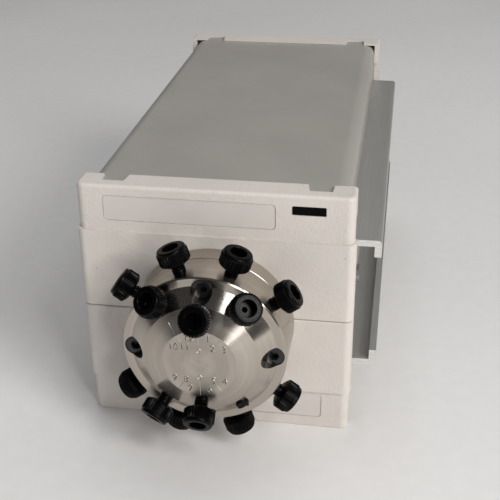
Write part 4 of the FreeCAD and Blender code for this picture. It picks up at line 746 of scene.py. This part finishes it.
class VALVE_OT_screws(bpy.types.Operator):
    """Make the socket head screws of the head, which nearly fill their counterbores"""
    bl_idname = "selector_valve.screws"
    bl_label = "Head screws"
    HEAD = 3.74 * MM
    HEAD_LENGTH = 4.0 * MM
    SHANK = 2.0 * MM
    SOCKET = 1.75 * MM
    SOCKET_DEPTH = 2.2 * MM
    EDGE = 0.45 * MM
    STEPS = 48

    def execute(self, context):
        sixth = math.pi / 3
        circle = [1.0] * self.STEPS
        hexagon = [math.cos(sixth / 2) / math.cos(2 * math.pi * k / self.STEPS % sixth - sixth / 2)
                   for k in range(self.STEPS)]
        for name in sorted(node for node in frame["nodes"] if node.startswith("stator_screw")):
            low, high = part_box(name)
            centre = (low + high) / 2
            profile = ((self.SHANK, circle, low.y - high.y), (self.SHANK, circle, -self.HEAD_LENGTH),
                       (self.HEAD, circle, -self.HEAD_LENGTH), (self.HEAD, circle, -self.EDGE),
                       (self.HEAD - self.EDGE * 0.3, circle, -self.EDGE * 0.3),
                       (self.HEAD - self.EDGE, circle, 0.0), (self.SOCKET + self.EDGE * 0.5, hexagon, 0.0),
                       (self.SOCKET, hexagon, -self.EDGE * 0.5), (self.SOCKET, hexagon, -self.SOCKET_DEPTH))
            vertices, faces = lathe([([radius * share for share in shape], height)
                                     for radius, shape, height in profile], self.STEPS)
            # The shank's end and the socket's floor are closed by caps and not by a bore
            last = (len(profile) - 1) * self.STEPS
            faces = faces[:-self.STEPS]
            faces.append(tuple(reversed(range(self.STEPS))))
            faces.append(tuple(last + k for k in range(self.STEPS)))
            move = axis_frame((centre.x, low.y, centre.z), TO_FRONT)
            piece = new_piece(name + "_screw", moved(move, vertices), faces,
                              bpy.data.materials["Black Oxide"], "case", math.radians(30))
            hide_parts(name)
        return {"FINISHED"}


class VALVE_OT_numbers(bpy.types.Operator):
    """Engrave the plain port numbers on the flat face of the head"""
    bl_idname = "selector_valve.numbers"
    bl_label = "Port numbers"
    # Radii on the face, in millimetres
    OUTER_RADIUS = 10.8
    MIDDLE_RADIUS = 8.1
    # Font size for a figure of height 1
    FONT_SIZE = 1.38
    HALF_DEPTH = 0.015 * MM
    BEVEL = 0.085 * MM
    OFFSET = -0.02 * MM

    def outline(self, context, number, height):
        """A mesh of one number, flat on its back."""
        text = bpy.data.curves.new("number_%02d" % number, "FONT")
        text.body = str(number)
        text.size = height * self.FONT_SIZE
        text.align_x = "CENTER"
        text.align_y = "CENTER"
        text.resolution_u = 3
        text.extrude = self.HALF_DEPTH
        text.bevel_depth = self.BEVEL
        text.bevel_resolution = 1
        text.offset = self.OFFSET
        holder = bpy.data.objects.new("number_%02d_outline" % number, text)
        context.scene.collection.objects.link(holder)
        context.view_layer.update()
        mesh = bpy.data.meshes.new_from_object(holder.evaluated_get(context.evaluated_depsgraph_get()))
        bpy.data.objects.remove(holder)
        return mesh

    def execute(self, context):
        look = context.scene.valve_look
        material = material_named("Engraved Stroke", engraved)
        upright = Matrix.Rotation(math.radians(90), 4, "X")
        for number, (azimuth, tilted) in sorted(numbered_ports().items()):
            mesh = self.outline(context, number, look.number_height)
            radius = self.MIDDLE_RADIUS if tilted else self.OUTER_RADIUS
            mesh.transform(Matrix.Translation(face_point(azimuth, radius)) @ upright)
            place_piece("number_%02d" % number, mesh, material, "case")
        return {"FINISHED"}


class VALVE_OT_ticks(bpy.types.Operator):
    """Engrave the tick marks and the two ring marks on the face of the head"""
    bl_idname = "selector_valve.ticks"
    bl_label = "Face marks"
    # Azimuth in degrees, and inner and outer radius in millimetres
    TICKS = ((54, 9.9, 12.6), (126, 10.2, 12.9), (234, 9.6, 12.2), (306, 10.0, 12.7), (90, 7.6, 12.7),
             (270, 7.0, 12.7))
    CONE_TICK = (126, 13.6, 17.8)
    RING_PLACES = ((90, 5.3), (270, 5.3))
    RING_RADIUS = 0.75 * MM
    RING_STEPS = 20
    PROUD = 0.05 * MM

    def execute(self, context):
        stroke = context.scene.valve_look.stroke
        vertices = []
        faces = []
        for azimuth, low, high in self.TICKS:
            join(vertices, faces, *ridge(face_point(azimuth, low), face_point(azimuth, high), TO_FRONT,
                                         stroke, self.PROUD))
        for azimuth, radius in self.RING_PLACES:
            centre = face_point(azimuth, radius)
            turns = [2 * math.pi * k / self.RING_STEPS for k in range(self.RING_STEPS + 1)]
            points = [centre + Vector((math.cos(turn), 0, math.sin(turn))) * self.RING_RADIUS
                      for turn in turns]
            for start, end in zip(points, points[1:]):
                join(vertices, faces, *ridge(start, end, TO_FRONT, stroke, self.PROUD))
        azimuth, low, high = self.CONE_TICK
        start = cone_point(azimuth, low)
        end = cone_point(azimuth, high)
        around = Vector((-math.sin(math.radians(azimuth)), 0, math.cos(math.radians(azimuth))))
        normal = (end - start).normalized().cross(around)
        normal = normal if normal.y < 0 else -normal
        join(vertices, faces, *ridge(start, end, normal, stroke * 1.3, self.PROUD))
        new_piece("face_ticks", vertices, faces, material_named("Engraved Stroke", engraved), "case")
        return {"FINISHED"}


class VALVE_OT_stub(bpy.types.Operator):
    """Tear the top of the broken fitting that is stuck in its port"""
    bl_idname = "selector_valve.stub"
    bl_label = "Broken fitting"
    LEAN = math.radians(45)
    STEPS = 56
    # Lengths of the torn top, in millimetres
    RINGS = (0.85, 1.2, 1.55, 1.9, 2.2)
    RIM = (2.34, 0.1)
    BORE = (0.85, -0.5)
    TEAR_TURN = 0.35
    TEAR_HEIGHT = 1.5
    CREASE_PLACE = 1.15
    CREASE_WIDTH = 0.42
    LOWEST = 0.25
    ROUGHNESS = 0.25

    def execute(self, context):
        chance = random.Random(5)
        low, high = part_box("port_stub")
        azimuth = math.radians(numbered_ports()[BROKEN_PORT][0])
        way = Vector((math.cos(self.LEAN) * math.cos(azimuth), -math.sin(self.LEAN),
                      math.cos(self.LEAN) * math.sin(azimuth)))
        sister = JOINTS["fitting_%02d_body" % MIRROR_PORT]["pos_m"]
        mouth = Vector((sister[0], sister[1], 2 * VALVE_AXIS.z - sister[2]))
        if not (low.x < mouth.x < high.x and low.z < mouth.z < high.z):
            raise RuntimeError("the stub isn't where the other ports say")
        vertices = []
        for k in range(self.STEPS):
            angle = 2 * math.pi * k / self.STEPS
            spots = []
            for radius in self.RINGS:
                across = abs(radius * math.sin(angle - self.TEAR_TURN))
                crease = math.exp(-((across - self.CREASE_PLACE) / self.CREASE_WIDTH) ** 2)
                height = self.LOWEST + self.TEAR_HEIGHT * crease * chance.uniform(0.65, 1.0)
                spots.append((radius, height + self.ROUGHNESS * chance.random()))
            for radius, height in (*spots, self.RIM, self.BORE):
                vertices.append((radius * MM * math.cos(angle), radius * MM * math.sin(angle), height * MM))
        width = len(self.RINGS) + 2
        order = [width - 1, *range(len(self.RINGS)), width - 2]
        faces = []
        for k in range(self.STEPS):
            here = k * width
            there = (k + 1) % self.STEPS * width
            for a, b in zip(order, order[1:]):
                faces.append((here + a, here + b, there + b, there + a))
            faces.append((here + order[-1], here + order[0], there + order[0], there + order[-1]))
        new_piece("stub_break", moved(axis_frame(mouth, way), vertices), faces,
                  material_named("Torn Polymer", broken_polymer), "case")
        return {"FINISHED"}


class VALVE_OT_sockets(bpy.types.Operator):
    """Set the contacts into the two data sockets at the rear"""
    bl_idname = "selector_valve.sockets"
    bl_label = "Socket contacts"
    PITCH = 2.77 * MM
    ROW_GAP = 2.84 * MM
    # Side of the middle line and number of contacts of each row
    ROWS = ((0.5, 5), (-0.5, 4))
    # Radius and height of each ring of a contact
    PROFILE = ((0.62 * MM, -0.3 * MM), (0.62 * MM, 0.05 * MM),
               (0.36 * MM, 0.05 * MM), (0.36 * MM, -0.3 * MM))
    STEPS = 12
    # Half the width of the shell's flat middle
    MIDDLE = 8.6 * MM

    def execute(self, context):
        contact, contact_faces = lathe([([radius] * self.STEPS, height) for radius, height in self.PROFILE],
                                       self.STEPS)
        for node in ("serial_socket", "remote_socket"):
            low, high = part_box(node)
            centre = (low + high) / 2
            mouth = self.mouth(node, centre.x)
            vertices = []
            faces = []
            for row, count in self.ROWS:
                for k in range(count):
                    x = centre.x + (k - (count - 1) / 2) * self.PITCH
                    z = centre.z + row * self.ROW_GAP
                    join(vertices, faces, [(x + across, mouth + out, z + up) for across, up, out in contact],
                         contact_faces)
            new_piece(node.replace("socket", "contacts"), vertices, faces, bpy.data.materials["Gear Brass"],
                      "case", math.radians(40))
        return {"FINISHED"}

    def mouth(self, node, middle):
        """How far out the middle of the socket's shell reaches."""
        spots = [vertex.co for vertex in frame["nodes"][node].data.vertices]
        return max(spot.y for spot in spots if abs(spot.x - middle) < self.MIDDLE)


class VALVE_OT_rocker_marks(bpy.types.Operator):
    """Print the ON and OFF marks on the power rocker"""
    bl_idname = "selector_valve.rocker_marks"
    bl_label = "Rocker marks"
    BAR = 2.2 * MM
    BAR_SPANS = 6
    RING = 1.0 * MM
    RING_STEPS = 24
    LINE = 0.32 * MM
    AWAY = 4.2 * MM
    PROUD = 0.04 * MM
    RAY_START = 30 * MM

    def execute(self, context):
        half = self.LINE / 2
        bar = []
        for k in range(self.BAR_SPANS + 1):
            height = self.BAR * (k / self.BAR_SPANS - 0.5) + self.AWAY
            bar += [(-half, height), (half, height)]
        strips = [(2 * k, 2 * k + 1, 2 * k + 3, 2 * k + 2) for k in range(self.BAR_SPANS)]
        ring = []
        for k in range(self.RING_STEPS):
            turn = 2 * math.pi * k / self.RING_STEPS
            for radius in (self.RING - half, self.RING + half):
                ring.append((radius * math.cos(turn), radius * math.sin(turn) - self.AWAY))
        whole = 2 * self.RING_STEPS
        links = [(2 * k, 2 * k + 1, (2 * k + 3) % whole, (2 * k + 2) % whole)
                 for k in range(self.RING_STEPS)]
        vertices = []
        faces = []
        join(vertices, faces, *self.patch(bar, strips))
        join(vertices, faces, *self.patch(ring, links))
        body = next(name for name in frame["bodies"] if "rocker" in name)
        new_piece("rocker_marks", vertices, faces, mark_paint(), body)
        return {"FINISHED"}

    def patch(self, outline, polygons):
        """Vertices and faces of a thin closed patch on the rocker's face, laid by rays from behind it."""
        rocker = frame["nodes"]["switch_rocker"]
        low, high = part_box("switch_rocker")
        centre = (low + high) / 2
        count = len(outline)
        vertices = []
        for proud in (self.PROUD, -self.PROUD):
            for x, z in outline:
                spot = centre + Vector((x, self.RAY_START, z))
                hit, place, _, _ = rocker.ray_cast(spot, TO_FRONT)
                if not hit:
                    raise RuntimeError("the mark misses the rocker")
                vertices.append(place - TO_FRONT * proud)
        faces = []
        edges = []
        for polygon in polygons:
            faces.append(tuple(reversed(polygon)))
            faces.append(tuple(count + index for index in polygon))
            edges += zip(polygon, polygon[1:] + polygon[:1])
        faces += [(a, b, count + b, count + a) for a, b in edges if (b, a) not in edges]
        return vertices, faces


class VALVE_OT_stage(bpy.types.Operator):
    """Set up the table, the soft lights and the camera"""
    bl_idname = "selector_valve.stage"
    bl_label = "Stage"
    TABLE_REACH = 3.0
    # Name, place, size, share of the key light's power, and colour
    LAMPS = (
        ("key_light", (1.00, -0.85, 0.85), (0.40, 0.62), 1.0, (1.0, 0.985, 0.96)),
        ("side_box", (0.65, -1.09, 0.22), (0.16, 0.22), 0.12, (1.0, 1.0, 1.0)),
        ("top_box", (0.463, -0.738, 0.954), (0.16, 0.30), 0.17, (1.0, 1.0, 1.0)),
        ("sky_box", (0.05, 0.35, 1.30), (0.70, 0.70), 0.24, (1.0, 1.0, 1.0)))
    LAMPS_AIM = Vector((0.0, -0.10, 0.05))
    SKY_COLOR = (0.97, 0.985, 1.0, 1.0)
    SKY_AS_SEEN = 0.62

    def execute(self, context):
        look = context.scene.stage_look
        self.table(look)
        self.world(look)
        self.lamps(look)
        camera = bpy.data.cameras.new("camera")
        camera.sensor_width = 36.0
        camera.lens = look.lens
        camera.clip_start = 0.01
        holder = bpy.data.objects.new("camera", camera)
        holder.location = look.camera_place
        holder.rotation_euler = Euler(look.camera_turn)
        context.scene.collection.objects.link(holder)
        context.scene.camera = holder
        context.scene.view_settings.view_transform = "Standard"
        return {"FINISHED"}

    def table(self, look):
        """A pale table top with soft patches."""
        reach = self.TABLE_REACH
        corners = [(-reach, -reach, 0), (reach, -reach, 0), (reach, reach, 0), (-reach, reach, 0)]
        mesh = bpy.data.meshes.new("table_top")
        mesh.from_pydata(corners, [], [(0, 1, 2, 3)])
        table = bpy.data.objects.new("table_top", mesh)
        bpy.context.scene.collection.objects.link(table)
        made, tree, shader = new_material("Table Top")
        place = place_vector(tree)
        soft = ramp(tree, noise(tree, place, 2.2, 2.0), 0.3, 0.7, 0.95, 1.05)
        fine = ramp(tree, noise(tree, place, 160.0, 3.0), 0.3, 0.7, 0.985, 1.01)
        tone = maths(tree, "MULTIPLY", soft, fine)
        feed(tree, shader, Base_Color=blend_colors(tree, 1.0, look.floor, tone, "MULTIPLY"))
        set_shader(shader, Roughness=0.55)
        mesh.materials.append(made)

    def world(self, look):
        """Even light, dimmer in reflections, with a plain backdrop for the camera."""
        world = bpy.data.worlds.new("studio")
        bpy.context.scene.world = world
        world.use_nodes = True
        tree = world.node_tree
        background = tree.nodes["Background"]
        background.inputs["Color"].default_value = self.SKY_COLOR
        path = add(tree, "ShaderNodeLightPath").outputs
        dimmed = maths(tree, "SUBTRACT", 1.0, maths(tree, "MULTIPLY", path["Is Glossy Ray"], look.gloom))
        level = maths(tree, "MULTIPLY", dimmed, look.ambient)
        strength = ramp(tree, path["Is Camera Ray"], 0.0, 1.0, level, self.SKY_AS_SEEN)
        tree.links.new(strength, background.inputs["Strength"])

    def lamps(self, look):
        """Soft boxes that look at the valve."""
        for name, place, size, share, color in self.LAMPS:
            lamp = bpy.data.lights.new(name, "AREA")
            lamp.shape = "RECTANGLE"
            lamp.size = size[0]
            lamp.size_y = size[1]
            lamp.energy = look.key * share
            lamp.color = color
            holder = bpy.data.objects.new(name, lamp)
            holder.location = place
            holder.rotation_euler = (self.LAMPS_AIM - Vector(place)).to_track_quat("-Z", "Y").to_euler()
            bpy.context.scene.collection.objects.link(holder)


class VALVE_PT_look(bpy.types.Panel):
    """Sidebar panel with every step and value of the look"""
    bl_label = "Selector Valve"
    bl_space_type = "VIEW_3D"
    bl_region_type = "UI"
    bl_category = "Selector Valve"

    def draw(self, context):
        layout = self.layout
        for operator in STEPS:
            layout.operator(operator.bl_idname)
        for name in LOOKS:
            look = getattr(context.scene, name)
            box = layout.box()
            for prop in look.bl_rna.properties:
                if prop.identifier not in ("rna_type", "name"):
                    box.prop(look, prop.identifier)


LOOKS = {"case_look": CaseLook, "valve_look": ValveLook, "fitting_look": FittingLook,
         "stage_look": StageLook}
STEPS = (VALVE_OT_dress_nodes, VALVE_OT_fittings, VALVE_OT_threads, VALVE_OT_screws, VALVE_OT_numbers,
         VALVE_OT_ticks, VALVE_OT_stub, VALVE_OT_sockets, VALVE_OT_rocker_marks, VALVE_OT_stage)


def register():
    for cls in (*LOOKS.values(), *STEPS, VALVE_PT_look):
        bpy.utils.register_class(cls)
    for name, cls in LOOKS.items():
        setattr(bpy.types.Scene, name, PointerProperty(type=cls))


def unregister():
    for name in LOOKS:
        delattr(bpy.types.Scene, name)
    for cls in (VALVE_PT_look, *reversed(STEPS), *LOOKS.values()):
        bpy.utils.unregister_class(cls)


def main():
    register()
    for operator in STEPS:
        group, name = operator.bl_idname.split(".")
        if getattr(getattr(bpy.ops, group), name)() != {"FINISHED"}:
            raise RuntimeError("%s didn't finish" % operator.bl_label)


if __name__ == "__main__":
    main()
